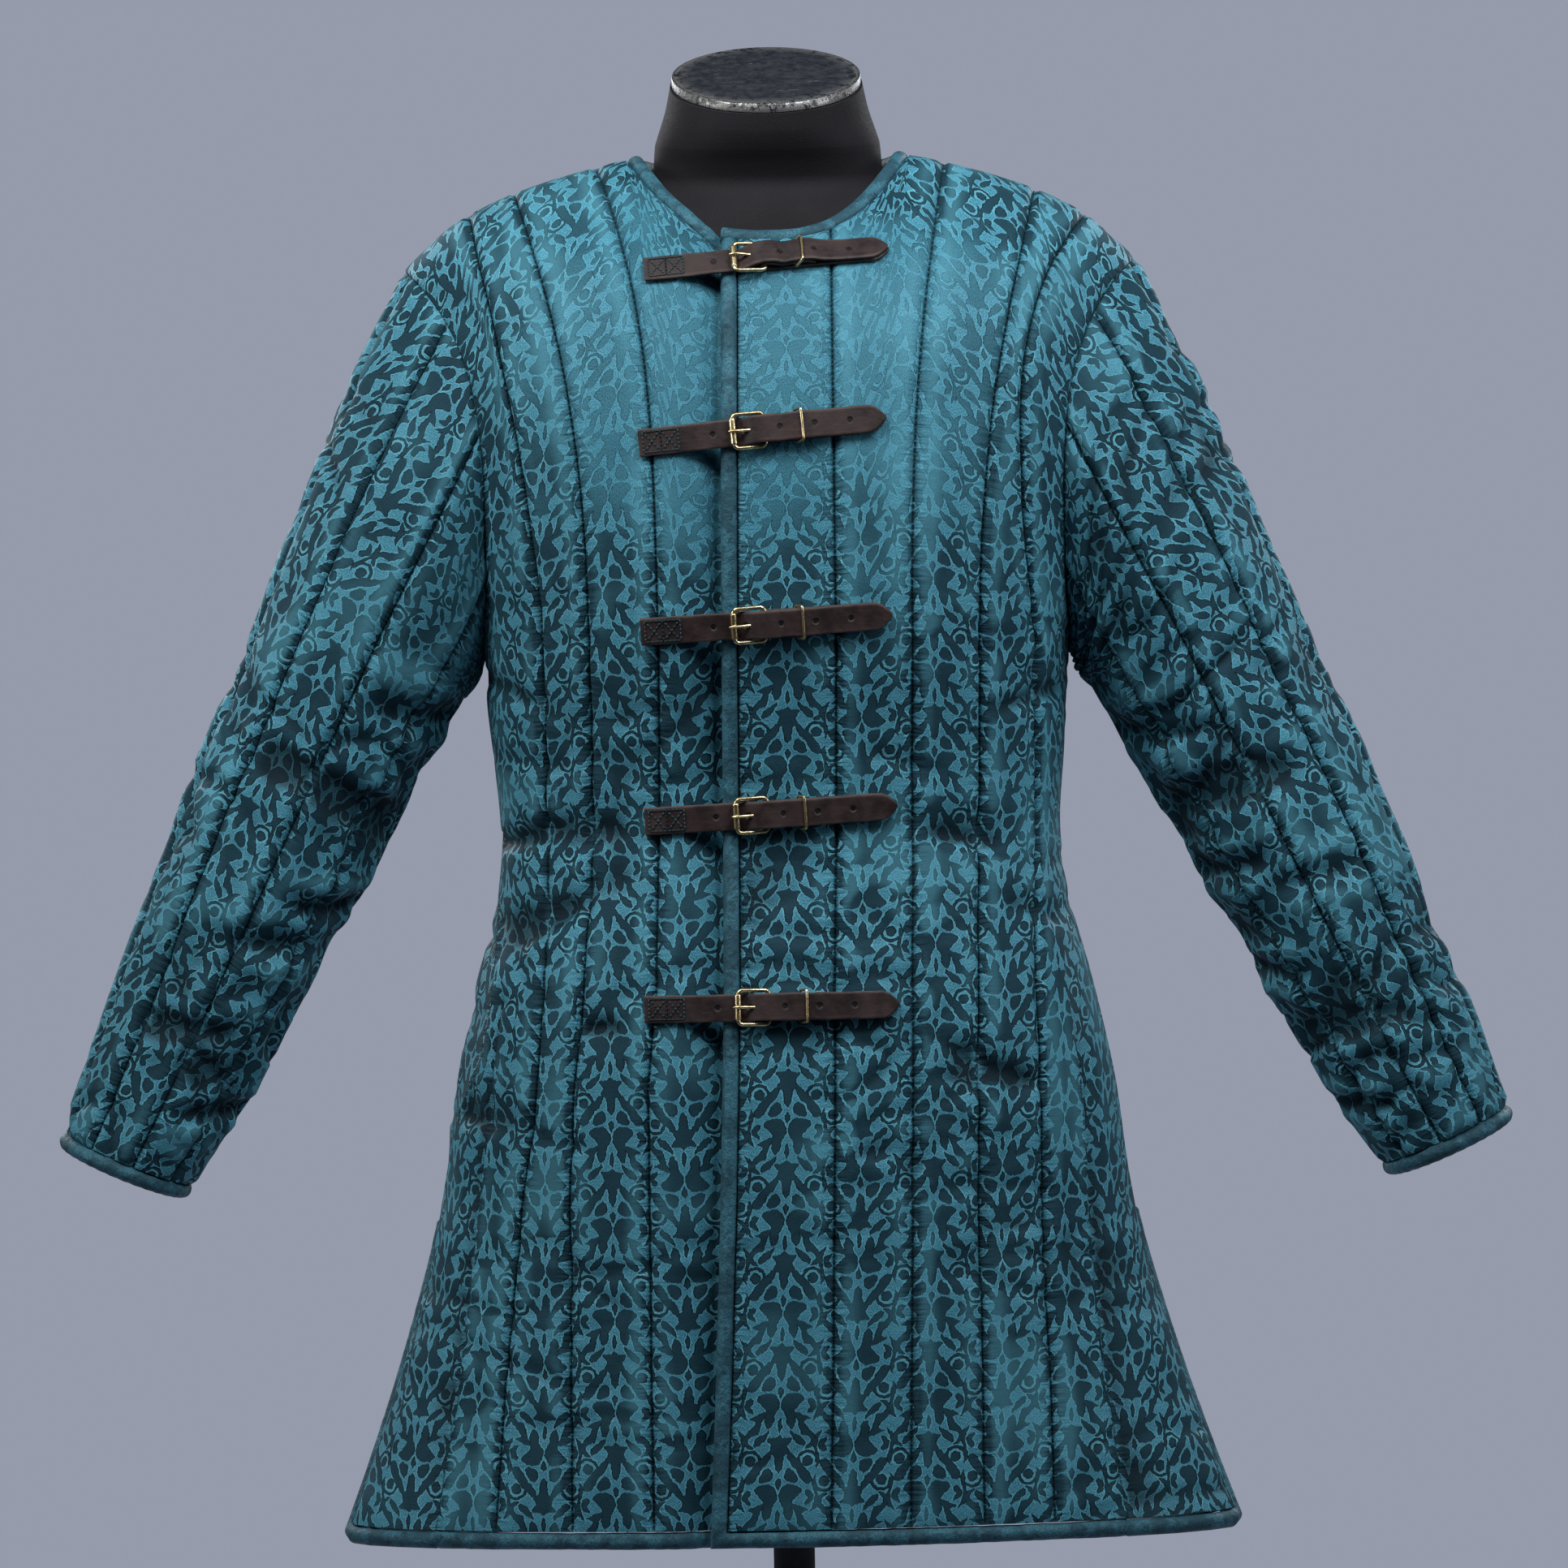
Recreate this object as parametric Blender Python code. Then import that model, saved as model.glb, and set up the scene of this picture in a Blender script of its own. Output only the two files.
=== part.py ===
"""Gambeson: a coat of quilted brocade, buckled down the front, on a limbless dress form with a stand.

Metres, +Z up. The front faces -Y and the wearer's left is +X. Heights in the tables are above the hem.
"""

import math

import bmesh
import bpy
import numpy as np

for old in list(bpy.data.objects):
    bpy.data.objects.remove(old)


def table(names, *rows):
    """Columns by name, one row for each section or line."""
    return dict(zip(names.split(), np.array(rows, float).T))


# ---------------------------------------------------------------- driving sizes
HEM_Z = 0.42  # the hem above the floor
SEAM = 0.0003  # gap between neighbouring pieces
WALL = 0.009  # padded cloth, from the crest of a channel to the plain inside
GROOVE = 0.0035  # depth of a quilting line
PINCH = 0.0015  # how far a seam or a bound edge is drawn in from the crest
SEAM_WALL = 0.0070  # padding left at the armhole seam
UNDERARM = 0.590
SHOULDER = 0.848
SLIT_TOP = 0.220  # top of the side slits
SLIT_SPREAD = 0.070  # how far a slit's edge stands forward or back at the hem
UNDERLAP_SET_IN = 0.0135  # how far the lower front lies inside the upper one
BACK_DROP = 0.015  # the back hem hangs this much lower
SPREAD = 0.28  # share of the sleeve that spreads out to the armhole
HEAD_PUFF = 0.004
ARMHOLE_TURN = math.radians(16)  # the sleeve's lines turn towards the shoulder as they reach the armhole
ARMHOLE_X = 0.192  # the armhole's half width across the chest
SHOULDER_OUT = 0.055  # it leans out by this much to the shoulder
UNDERARM_OUT = 0.006  # and by this much to the underarm

# The coat's outline, crest to crest, and the roundness of its section
OUTLINE = table(
    "height half_width front back power",
    (-0.020, 0.3112, 0.168, 0.160, 2.00),
    (0.000, 0.3044, 0.165, 0.157, 2.00),
    (0.050, 0.2856, 0.162, 0.153, 2.00),
    (0.110, 0.2648, 0.158, 0.148, 2.05),
    (0.220, 0.2349, 0.154, 0.140, 2.20),
    (0.300, 0.2236, 0.150, 0.132, 2.35),
    (0.366, 0.2090, 0.143, 0.124, 2.50),
    (0.423, 0.1940, 0.134, 0.113, 2.50),
    (0.467, 0.1895, 0.128, 0.108, 2.50),
    (0.511, 0.1925, 0.131, 0.109, 2.50),
    (0.555, 0.1970, 0.139, 0.114, 2.50),
    (0.590, 0.1980, 0.146, 0.119, 2.50),
    (0.640, 0.2060, 0.151, 0.125, 2.50),
    (0.700, 0.2190, 0.152, 0.128, 2.50),
    (0.769, 0.2360, 0.142, 0.124, 2.50),
    (0.820, 0.2470, 0.122, 0.113, 2.50),
    (0.848, 0.2470, 0.106, 0.102, 2.50),
    (0.863, 0.2320, 0.091, 0.096, 2.50),
    (0.885, 0.2040, 0.067, 0.085, 2.50),
    (0.907, 0.1500, 0.044, 0.072, 2.50),
    (0.921, 0.0970, 0.030, 0.060, 2.50),
    (0.932, 0.0500, 0.018, 0.046, 2.50),
)
NECK_POINT = 0.096  # half width of the neck at the shoulder seam
NECK_AXIS = np.array([0.0, -0.008, 0.970])  # the neckline's binding leans towards this point
SEAM_STEPS = 400  # heights tried along the shoulder seam
FRONT_NECK = table("low rise power", (0.861, 0.060, 2.6))
BACK_NECK = table("low rise power", (0.908, 0.013, 2.0))

# Lengthwise lines of a panel at these heights, then where each ends at the top and how it bends there
LINE_HEIGHTS = np.array([0.0, 0.110, 0.220, 0.300, 0.366, 0.467, 0.590])


def lines(*rows):
    """Lines of a panel, as rows of name, x at each of LINE_HEIGHTS, x at the top, then three more.

    These are the power of the line's bend (0 follows the armhole), its groove and the columns to the next.
    """
    return [
        {
            "name": row[0],
            "x": np.array(row[1:8]),
            "top": row[8],
            "bend": row[9],
            "groove": row[10],
            "steps": row[11],
        }
        for row in rows
    ]


LEFT_FRONT_LINES = lines(
    ("edge", -0.0435, -0.038, -0.033, -0.030, -0.028, -0.0265, -0.025, -0.0205, 1.0, 0.3, 3),
    ("first", 0.0245, 0.028, 0.031, 0.033, 0.034, 0.037, 0.039, 0.041, 1.0, 1, 3),
    ("neck", 0.061, 0.064, 0.067, 0.069, 0.070, 0.072, 0.0745, NECK_POINT, 2.3, 0, 1),
    ("second", 0.077, 0.080, 0.083, 0.085, 0.086, 0.088, 0.090, 0.119, 2.3, 1, 3),
    ("third", 0.126, 0.127, 0.128, 0.129, 0.130, 0.133, 0.1355, 0.180, 2.0, 1, 3),
    ("fourth", 0.173, 0.172, 0.171, 0.1705, 0.170, 0.1715, 0.174, 0.214, 0, 1, 2),
    ("fifth", 0.224, 0.2105, 0.2035, 0.199, 0.190, 0.182, 0.188, 0.232, 0, 1, 2),
)
RIGHT_FRONT_LINES = lines(
    ("edge", -0.014, -0.014, -0.014, -0.014, -0.014, -0.014, -0.014, -0.014, 1.0, 0.3, 2),
    ("under", 0.058, 0.053, 0.048, 0.045, 0.043, 0.041, 0.039, 0.035, 1.0, 0, 1),
    ("rise", 0.067, 0.062, 0.057, 0.054, 0.052, 0.050, 0.048, 0.045, 1.0, 0, 1),
    ("level", 0.076, 0.073, 0.070, 0.068, 0.065, 0.062, 0.060, 0.060, 1.5, 0, 1),
    ("neck", 0.086, 0.085, 0.083, 0.082, 0.077, 0.074, 0.072, NECK_POINT, 3.0, 0, 1),
    ("first", 0.092, 0.092, 0.0915, 0.091, 0.0845, 0.081, 0.0785, 0.116, 3.5, 1, 3),
    ("second", 0.146, 0.146, 0.145, 0.141, 0.133, 0.126, 0.125, 0.172, 2.5, 1, 3),
    ("third", 0.198, 0.1895, 0.1775, 0.166, 0.161, 0.157, 0.157, 0.203, 1.6, 1, 2),
    ("fourth", 0.240, 0.222, 0.208, 0.198, 0.188, 0.178, 0.182, 0.230, 0, 1, 2),
)
BACK_LINES = lines(
    ("centre", 0.0, 0.0, 0.0, 0.0, 0.0, 0.0, 0.0, 0.0, 1.0, 1, 3),
    ("first", 0.050, 0.050, 0.050, 0.050, 0.050, 0.050, 0.051, 0.056, 2.0, 1, 2),
    ("neck", 0.074, 0.074, 0.074, 0.073, 0.073, 0.072, 0.074, NECK_POINT, 2.3, 0, 1),
    ("second", 0.102, 0.101, 0.100, 0.099, 0.098, 0.096, 0.098, 0.122, 2.2, 1, 3),
    ("third", 0.152, 0.150, 0.148, 0.146, 0.144, 0.138, 0.140, 0.180, 2.0, 1, 2),
    ("fourth", 0.202, 0.194, 0.187, 0.182, 0.177, 0.170, 0.173, 0.212, 0, 1, 2),
    ("fifth", 0.250, 0.226, 0.211, 0.202, 0.192, 0.182, 0.188, 0.232, 0, 1, 2),
)
FIFTH_FADES = (0.300, 0.400)  # the outermost line of each panel runs out between these heights

# Largest folds, as troughs from one point to another in the front view
FRONT_FOLDS = table(
    "x0 h0 x1 h1 depth reach",
    (-0.176, 0.468, -0.104, 0.472, 0.0050, 0.012),
    (-0.098, 0.446, -0.182, 0.404, 0.0045, 0.014),
    (-0.216, 0.292, -0.168, 0.272, 0.0040, 0.013),
    (0.088, 0.474, 0.150, 0.466, 0.0050, 0.012),
    (0.110, 0.320, 0.166, 0.298, 0.0045, 0.013),
    (-0.135, 0.338, -0.108, 0.343, 0.0030, 0.012),
)
BACK_FOLDS = table(
    "x0 h0 x1 h1 depth reach",
    (-0.150, 0.482, -0.030, 0.462, 0.0050, 0.013),
    (0.020, 0.500, 0.140, 0.470, 0.0050, 0.013),
    (-0.060, 0.420, 0.070, 0.428, 0.0045, 0.014),
    (0.100, 0.330, 0.180, 0.300, 0.0040, 0.013),
    (-0.170, 0.345, -0.110, 0.318, 0.0040, 0.013),
)

# The sleeve's outer and inner outline in the front view, from where it leaves the armhole's spread to the cuff
SLEEVE = table(
    "along outer_x outer_h inner_x inner_h half_depth centre_y",
    (0.0, 0.3250, 0.6780, 0.2130, 0.5600, 0.0780, -0.006),
    (0.2, 0.3587, 0.5980, 0.2477, 0.4970, 0.0720, -0.007),
    (0.4, 0.3954, 0.5160, 0.2821, 0.4310, 0.0665, -0.009),
    (0.6, 0.4267, 0.4340, 0.3212, 0.3640, 0.0610, -0.011),
    (0.8, 0.4586, 0.3525, 0.3594, 0.2970, 0.0555, -0.013),
    (1.0, 0.4880, 0.2725, 0.4015, 0.2335, 0.0475, -0.015),
)
SLEEVE_LINES = (0, 41, 81, 121, 161)  # quilting lines in degrees from the underarm, in front and behind
FOLD_ENDS = (0.6, 1.2)  # a fold round a sleeve fades out between these shares of its half length
SLEEVE_STEPS = (0, 10, 30, 41, 52, 70, 81, 92, 110, 121, 132, 150, 161, 171, 180)
# Largest folds of a sleeve: place along it, middle and half length round it in degrees, depth and reach along
LEFT_SLEEVE_FOLDS = table(
    "at middle half_turn depth reach",
    (0.50, 52, 50, 0.0060, 0.022),
    (0.66, 20, 40, 0.0045, 0.020),
    (0.80, 55, 45, 0.0045, 0.020),
    (0.56, 300, 45, 0.0055, 0.022),
    (0.74, 270, 40, 0.0040, 0.020),
)
RIGHT_SLEEVE_FOLDS = table(
    "at middle half_turn depth reach",
    (0.50, 70, 50, 0.0060, 0.022),
    (0.64, 15, 45, 0.0045, 0.020),
    (0.84, 75, 50, 0.0050, 0.020),
    (0.56, 290, 45, 0.0055, 0.022),
    (0.76, 255, 40, 0.0040, 0.020),
)
SLEEVE_LENGTH = 0.47  # along its middle, which turns a fold's reach into a share of the sleeve
SLEEVE_ROWS = (0.0, 0.06, 0.12, 0.18, 0.23, 0.28, 0.36, 0.44, 0.50, 0.56, 0.64, 0.72, 0.80, 0.87, 0.94, 1.0)

# Rows of a panel: heights below the underarm, and the sleeve's own steps above it
LOW_ROWS = np.array(
    [0.012, 0.055, 0.110, 0.165, 0.206, 0.220, 0.250, 0.275, 0.298, 0.325]
    + [0.366, 0.405, 0.430, 0.450, 0.469, 0.488, 0.520, 0.555, 0.590]
)

# Bound edges
ROLL_WIDE = 0.0057  # half the width of a binding's roll, along the cloth
ROLL_THICK = 0.0061  # and half its thickness
ROLL_SIDES = 8
ROLL_GAP = 0.0003  # from the cloth's cut edge to the roll

# Buckled straps: roller x, height there, slope, left end and tip measured from the roller
STRAPS = table(
    "roller_x height slope start tip",
    (-0.0235, 0.8440, 0.066, -0.0592, 0.1015),
    (-0.0257, 0.7310, 0.086, -0.0617, 0.0990),
    (-0.0275, 0.6055, 0.050, -0.0608, 0.1025),
    (-0.0284, 0.4800, 0.047, -0.0601, 0.1047),
    (-0.0297, 0.3540, 0.004, -0.0611, 0.1046),
)
STRAP_HALF = 0.0090
STRAP_LIFT = 0.0005  # the straps' leather and metal sit this much further off the crest
TONGUE_THICK = 0.0026
TONGUE_START_OUT = 0.0016  # middle of the leather above the crest at its sewn end
BACKING_THICK = 0.0020
BACKING_OUT = 0.0013
BACKING_PAST = 0.0010  # the leather behind shows this far past the tongue's tip
BACKING_FLAT = (0.0160, 5)  # behind its point it lies flat from here to the bar, in this many stations
BAR_AT = 0.0205  # the buckle's inner bar, from its roller
BAR_OUT = 0.0040
LOOP_R = 0.0027  # bend of the leather round the bar
ROLLER_OUT = 0.0067
BAR_R = 0.0014
ROLLER_R = 0.0022
ROLLER_HALF = 0.0085
PRONG_R = 0.0011
PRONG_END = -0.0028
PRONG_OUT = 0.0103
FRAME_HALF = 0.0112
FRAME_CORNER = 0.0022  # how far its corners are cut
KEEPER_AT = 0.0450
KEEPER_R = 0.0009
KEEPER_HALF = 0.0107
KEEPER_CORNER = 0.0010
KEEPER_OUT = (0.0035, 0.0108)
WIRE_SIDES = 6
HOLE_CUT = (0.0070, 0.0160, 0.0016)  # the tongue's hole round the prong: from, to, half width
SLOT_CUT = (0.0150, 0.0225, 0.0020)  # the slot where the prong grips the bar, the same
SLOT_DEPTH = (0.0029, 0.0085)
POINT = table("back half", (0.0100, 1.00), (0.0060, 0.80), (0.0028, 0.48), (0.0, 0.12))
# Middle of the tongue's leather above the front's crest, by distance from the roller
TONGUE_RUN = table(
    "at out",
    (-0.046, 0.0017),
    (-0.032, 0.0019),
    (-0.022, 0.0022),
    (-0.012, 0.0026),
    (-0.005, 0.0027),
    (0.003, 0.0027),
    (0.009, 0.0056),
    (0.014, 0.0082),
    (0.0205, 0.0094),
    (0.026, 0.0089),
    (0.032, 0.0070),
    (0.040, 0.0077),
    (0.045, 0.0083),
    (0.051, 0.0079),
    (0.058, 0.0059),
    (0.068, 0.0045),
    (0.082, 0.0042),
)
# The leather behind, from its pointed end to the buckle, round the bar and back over the keeper
BACKING_TOP = table(
    "at out",
    (0.026, 0.0060),
    (0.032, 0.0044),
    (0.038, 0.0049),
    (0.045, 0.0057),
    (0.050, 0.0050),
    (0.0535, 0.0040),
)

# Dress form and its stand
FORM = table(
    "height half_width front back tilt",
    (0.130, 0.1240, 0.0850, 0.0880, 0.0),
    (0.142, 0.1380, 0.0960, 0.0980, 0.0),
    (0.220, 0.1500, 0.1040, 0.1000, 0.0),
    (0.300, 0.1500, 0.1030, 0.0960, 0.0),
    (0.400, 0.1430, 0.0950, 0.0880, 0.0),
    (0.467, 0.1390, 0.0920, 0.0850, 0.0),
    (0.560, 0.1520, 0.1040, 0.0930, 0.0),
    (0.640, 0.1660, 0.1160, 0.1000, 0.0),
    (0.700, 0.1750, 0.1180, 0.1040, 0.0),
    (0.769, 0.1820, 0.1080, 0.1010, 0.0),
    (0.820, 0.1820, 0.0860, 0.0920, 0.0),
    (0.848, 0.1720, 0.0680, 0.0830, 0.0),
    (0.863, 0.1500, 0.0590, 0.0720, 0.0),
    (0.875, 0.1270, 0.0540, 0.0670, 0.0),
    (0.885, 0.1080, 0.0500, 0.0610, 0.0),
    (0.896, 0.0888, 0.0432, 0.0545, 0.05),
    (0.905, 0.0800, 0.0418, 0.0500, 0.10),
    (0.913, 0.0775, 0.0450, 0.0485, 0.16),
    (0.921, 0.0768, 0.0485, 0.0495, 0.24),
    (0.930, 0.0760, 0.0530, 0.0525, 0.36),
    (0.938, 0.0735, 0.0555, 0.0545, 0.50),
    (0.9515, 0.0690, 0.0585, 0.0575, 0.75),
    (0.9700, 0.0650, 0.0600, 0.0590, 1.00),
)
CAP_TILT = math.radians(22)
CAP_R = 0.0640
CAP_THICK = 0.0060
CAP_HEIGHT = 0.9768  # middle of its top
CAP_BEVEL = 0.0012
POLE_R = 0.0140
BASE_R = 0.160
BASE_THICK = 0.020
BASE_BEVEL = 0.004
ROUND_STEPS = 32
FORM_POWER = 2.1


# ---------------------------------------------------------------- shapes worked out from the tables
def read(rows, column, at):
    """A column read smoothly: a cubic through its rows, each row's slope taken from its neighbours."""
    xs, ys = rows["height"], rows[column]
    at = np.clip(np.asarray(at, float), xs[0], xs[-1])
    slopes = np.gradient(ys, xs)
    i = np.clip(np.searchsorted(xs, at, side="right") - 1, 0, len(xs) - 2)
    span = xs[i + 1] - xs[i]
    t = (at - xs[i]) / span
    start = (1 + 2 * t) * (1 - t) ** 2 * ys[i] + t * (1 - t) ** 2 * span * slopes[i]
    return start + t * t * (3 - 2 * t) * ys[i + 1] + t * t * (t - 1) * span * slopes[i + 1]


def smooth(low, high, at):
    t = np.clip((np.asarray(at, float) - low) / (high - low), 0, 1)
    return t * t * (3 - 2 * t)


def unit(vectors):
    length = np.linalg.norm(vectors, axis=-1, keepdims=True)
    return vectors / np.maximum(length, 1e-12)


def slit_gap(h):
    """How far the slit's edge stands from the side line at this height."""
    return SLIT_SPREAD * np.clip((SLIT_TOP - np.asarray(h, float)) / SLIT_TOP, 0, 1.1) ** 1.2


def depth_at(x, h, front):
    """Distance of the coat's crest surface in front of (or behind) the side line."""
    power = read(OUTLINE, "power", h)
    share = np.clip(np.abs(x) / read(OUTLINE, "half_width", h), 0, 1)
    gap = slit_gap(h)
    return gap + (read(OUTLINE, "front" if front else "back", h) - gap) * (1 - share**power) ** (1 / power)


def coat_level(points):
    """Zero on the crest surface, growing outwards."""
    x, y, h = points[..., 0], points[..., 1], points[..., 2]
    power = read(OUTLINE, "power", h)
    depth = np.where(y <= 0, read(OUTLINE, "front", h), read(OUTLINE, "back", h))
    gap = slit_gap(h)
    away = np.maximum(np.abs(y) - gap, 0) / (depth - gap)
    return (np.abs(x) / read(OUTLINE, "half_width", h)) ** power + away**power


def coat_normal(points):
    """Outward direction of the crest surface."""
    step = 0.0004
    slope = [coat_level(points + step * axis) - coat_level(points - step * axis) for axis in np.eye(3)]
    return unit(np.stack(slope, axis=-1))


def armhole(t):
    """x and height of the armhole, from the underarm (0) to the shoulder (1)."""
    x = ARMHOLE_X + SHOULDER_OUT * t**5 + UNDERARM_OUT * (1 - t) ** 6
    return x, UNDERARM + (SHOULDER - UNDERARM) * t


def top_height(x, front):
    """Height of the shoulder seam, or of the neckline where x lies inside the neck."""
    x = abs(x)
    if x >= NECK_POINT - 1e-6:
        heights = np.linspace(SHOULDER, OUTLINE["height"][-1], SEAM_STEPS)
        widths = read(OUTLINE, "half_width", heights)
        return float(np.interp(-x, -widths, heights))
    neck = FRONT_NECK if front else BACK_NECK
    return float(neck["low"][0] + neck["rise"][0] * (x / NECK_POINT) ** neck["power"][0])


def fold_depth(folds, x, h):
    """Depth of the troughs at a place in the front view."""
    total = np.zeros(np.broadcast(x, h).shape)
    for x0, h0, x1, h1, depth, reach in zip(*(folds[k] for k in "x0 h0 x1 h1 depth reach".split())):
        along = np.array([x1 - x0, h1 - h0])
        size = np.hypot(*along)
        t = ((x - x0) * along[0] + (h - h0) * along[1]) / size**2
        off = np.abs((x - x0) * along[1] - (h - h0) * along[0]) / size
        ends = smooth(-0.15, 0.15, t) * (1 - smooth(0.85, 1.15, t))
        total = total + depth * ends * np.exp(-((off / reach) ** 2))
    return total


def side_turn(sign, h):
    """The wearer's right side seam lies a little forward of the side line above the slit, in radians."""
    if sign > 0:
        return np.zeros_like(h)
    return math.radians(24) * smooth(0.225, 0.330, h) * (1 - smooth(0.350, 0.480, h))


def sleeve_ring(angle, along):
    """Point of the sleeve below the armhole's spread."""
    ring = {
        key: np.interp(along, SLEEVE["along"], SLEEVE[key])
        for key in "outer_x outer_h inner_x inner_h half_depth centre_y".split()
    }
    across = np.cos(angle)
    x = (ring["outer_x"] + ring["inner_x"]) / 2 - across * (ring["outer_x"] - ring["inner_x"]) / 2
    h = (ring["outer_h"] + ring["inner_h"]) / 2 - across * (ring["outer_h"] - ring["inner_h"]) / 2
    return np.stack([x, ring["centre_y"] - ring["half_depth"] * np.sin(angle), h], axis=-1)


def armhole_point(angle):
    """Point of the armhole that the sleeve's line at this angle runs to."""
    turned = angle + ARMHOLE_TURN * np.sin(angle)
    x, h = armhole((1 - np.cos(turned)) / 2)
    in_front = np.sin(angle) >= 0
    y = np.where(in_front, -depth_at(x, h, True), depth_at(x, h, False))
    return np.stack([x, y, h], axis=-1)


def sleeve_point(angle, place):
    """Crest surface of the wearer's left sleeve: angle round it from the underarm, place 0 to 1 down it."""
    ring = sleeve_ring(angle, np.clip((place - SPREAD) / (1 - SPREAD), 0, 1))
    share = np.clip(place / SPREAD, 0, 1)[..., None]
    hole = armhole_point(angle)
    middle = (sleeve_ring(angle, 0 * place) + sleeve_ring(angle + math.pi, 0 * place)) / 2
    puff = HEAD_PUFF * 4 * share * (1 - share) * unit(sleeve_ring(angle, 0 * place) - middle)
    return np.where(share < 1, hole + (ring - hole) * share + puff, ring)


def sleeve_normal(angle, place):
    """Outward direction of the sleeve's crest surface."""
    turn, run = 0.01, 0.004
    place = np.clip(place, run, 1 - run)
    round_it = sleeve_point(angle + turn, place) - sleeve_point(angle - turn, place)
    down_it = sleeve_point(angle, place + run) - sleeve_point(angle, place - run)
    return unit(np.cross(down_it, round_it))


def armhole_frame(angle):
    """Points of the armhole, the way into the wall there and the way across the seam to the sleeve."""
    hole = armhole_point(angle)
    into = -unit(coat_normal(hole) + sleeve_normal(angle, np.full_like(angle, 0.03)))
    along = armhole_point(angle + 0.01) - armhole_point(angle - 0.01)
    over = unit(np.cross(along, into))
    toward = sleeve_ring(angle, 0 * angle) - hole
    over *= np.sign((over * toward).sum(axis=-1, keepdims=True))
    return hole, into, over


def channel_weights(steps):
    """Places of the columns across a channel: at its line, then where its crest begins and ends."""
    return {1: (0.0,), 2: (0.0, 0.5), 3: (0.0, 0.2, 0.8)}[steps]


def panel_half(rows, sign, front, low_rows, climb):
    """Crest surface of a panel from its first line to the side: points, inward depth and seam directions."""
    power = read(OUTLINE, "power", low_rows)
    width = read(OUTLINE, "half_width", low_rows)
    turn = side_turn(sign, low_rows) * (1 if front else -1)
    low_x = [np.interp(low_rows, LINE_HEIGHTS, row["x"]) for row in rows]
    low_turn = [np.arccos(np.sign(x) * np.clip(np.abs(x) / width, 0, 1) ** (power / 2)) for x in low_x]
    low_turn.append(turn)
    hole_x, hole_h = armhole(climb)
    high_x = []
    for row in rows:
        start = row["x"][-1]
        if row["bend"]:
            high_x.append(start + (row["top"] - start) * climb ** row["bend"])
        else:
            high_x.append(hole_x - (hole_x[0] - start) * (1 - climb) - (hole_x[-1] - row["top"]) * climb)
    high_x.append(hole_x)

    columns, inward, kept = [], [], []
    for k, row in enumerate(rows):
        for weight in channel_weights(row["steps"]):
            angle = low_turn[k] + (low_turn[k + 1] - low_turn[k]) * weight
            at_top = angle[-1]
            x_there = width[-1] * np.sign(np.cos(at_top)) * abs(np.cos(at_top)) ** (2 / power[-1])
            share = (x_there - high_x[k][0]) / (high_x[k + 1][0] - high_x[k][0])
            high = high_x[k] + (high_x[k + 1] - high_x[k]) * share
            columns.append((angle, high, top_height(high[-1], front)))
            fade = 1 - smooth(*FIFTH_FADES, low_rows) if k == len(rows) - 1 else np.ones_like(low_rows)
            line = row["groove"] * (weight == 0)
            low_in = GROOVE * line * fade
            inward.append(np.concatenate([low_in, np.full(len(climb) - 1, low_in[-1])]))
            kept.append(weight == 0)
    columns.append((turn, hole_x, SHOULDER))
    inward.append(np.full(len(low_rows) + len(climb) - 1, PINCH))
    kept.append(True)

    points = []
    for angle, high, top in columns:
        round_x = width * np.sign(np.cos(angle)) * np.abs(np.cos(angle)) ** (2 / power)
        lift = np.abs(np.sin(angle)) ** (2 / power)
        gap = slit_gap(low_rows)
        facing = (angle >= 0) == front
        depth = np.where(facing, read(OUTLINE, "front", low_rows), read(OUTLINE, "back", low_rows))
        round_y = (gap + (depth - gap) * lift) * np.where(facing, -1, 1)
        high_h = UNDERARM + (top - UNDERARM) * climb[1:]
        high_y = depth_at(high[1:], high_h, front) * (-1 if front else 1)
        low = np.stack([round_x, round_y, low_rows], axis=-1)
        points.append(np.concatenate([low, np.stack([high[1:], high_y, high_h], axis=-1)]))
    points = np.stack(points, axis=1)
    inward = np.stack(inward, axis=1)
    inward[0], inward[-1] = np.maximum(inward[0], PINCH), np.maximum(inward[-1], PINCH)
    return points, inward, np.array(kept)


# ---------------------------------------------------------------- meshes
def material(name, colour, roughness, metallic=0.0):
    made = bpy.data.materials.new(name)
    made.use_nodes = True
    shader = made.node_tree.nodes["Principled BSDF"]
    shader.inputs["Base Color"].default_value = (*colour, 1)
    shader.inputs["Roughness"].default_value = roughness
    shader.inputs["Metallic"].default_value = metallic
    return made


BROCADE = material("brocade", (0.050, 0.190, 0.225), 0.60)
LEATHER = material("leather", (0.035, 0.022, 0.024), 0.50)
BRASS = material("brass", (0.640, 0.500, 0.240), 0.28, 1.0)
FORM_CLOTH = material("form_cloth", (0.018, 0.017, 0.019), 0.75)
CAP_PAINT = material("cap_paint", (0.020, 0.022, 0.026), 0.35)
STAND_METAL = material("stand_metal", (0.020, 0.020, 0.022), 0.40, 0.6)


def add_object(name, points, faces, finish, sharp=35):
    """A closed mesh from points above the hem, facing out."""
    mesh = bpy.data.meshes.new(name)
    mesh.from_pydata([tuple(p) for p in points], [], faces)
    work = bmesh.new()
    work.from_mesh(mesh)
    bmesh.ops.recalc_face_normals(work, faces=work.faces)
    work.to_mesh(mesh)
    work.free()
    mesh.shade_smooth()
    mesh.set_sharp_from_angle(angle=math.radians(sharp))
    mesh.materials.append(finish)
    made = bpy.data.objects.new(name, mesh)
    made.location.z = HEM_Z
    bpy.context.scene.collection.objects.link(made)
    return made


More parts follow.
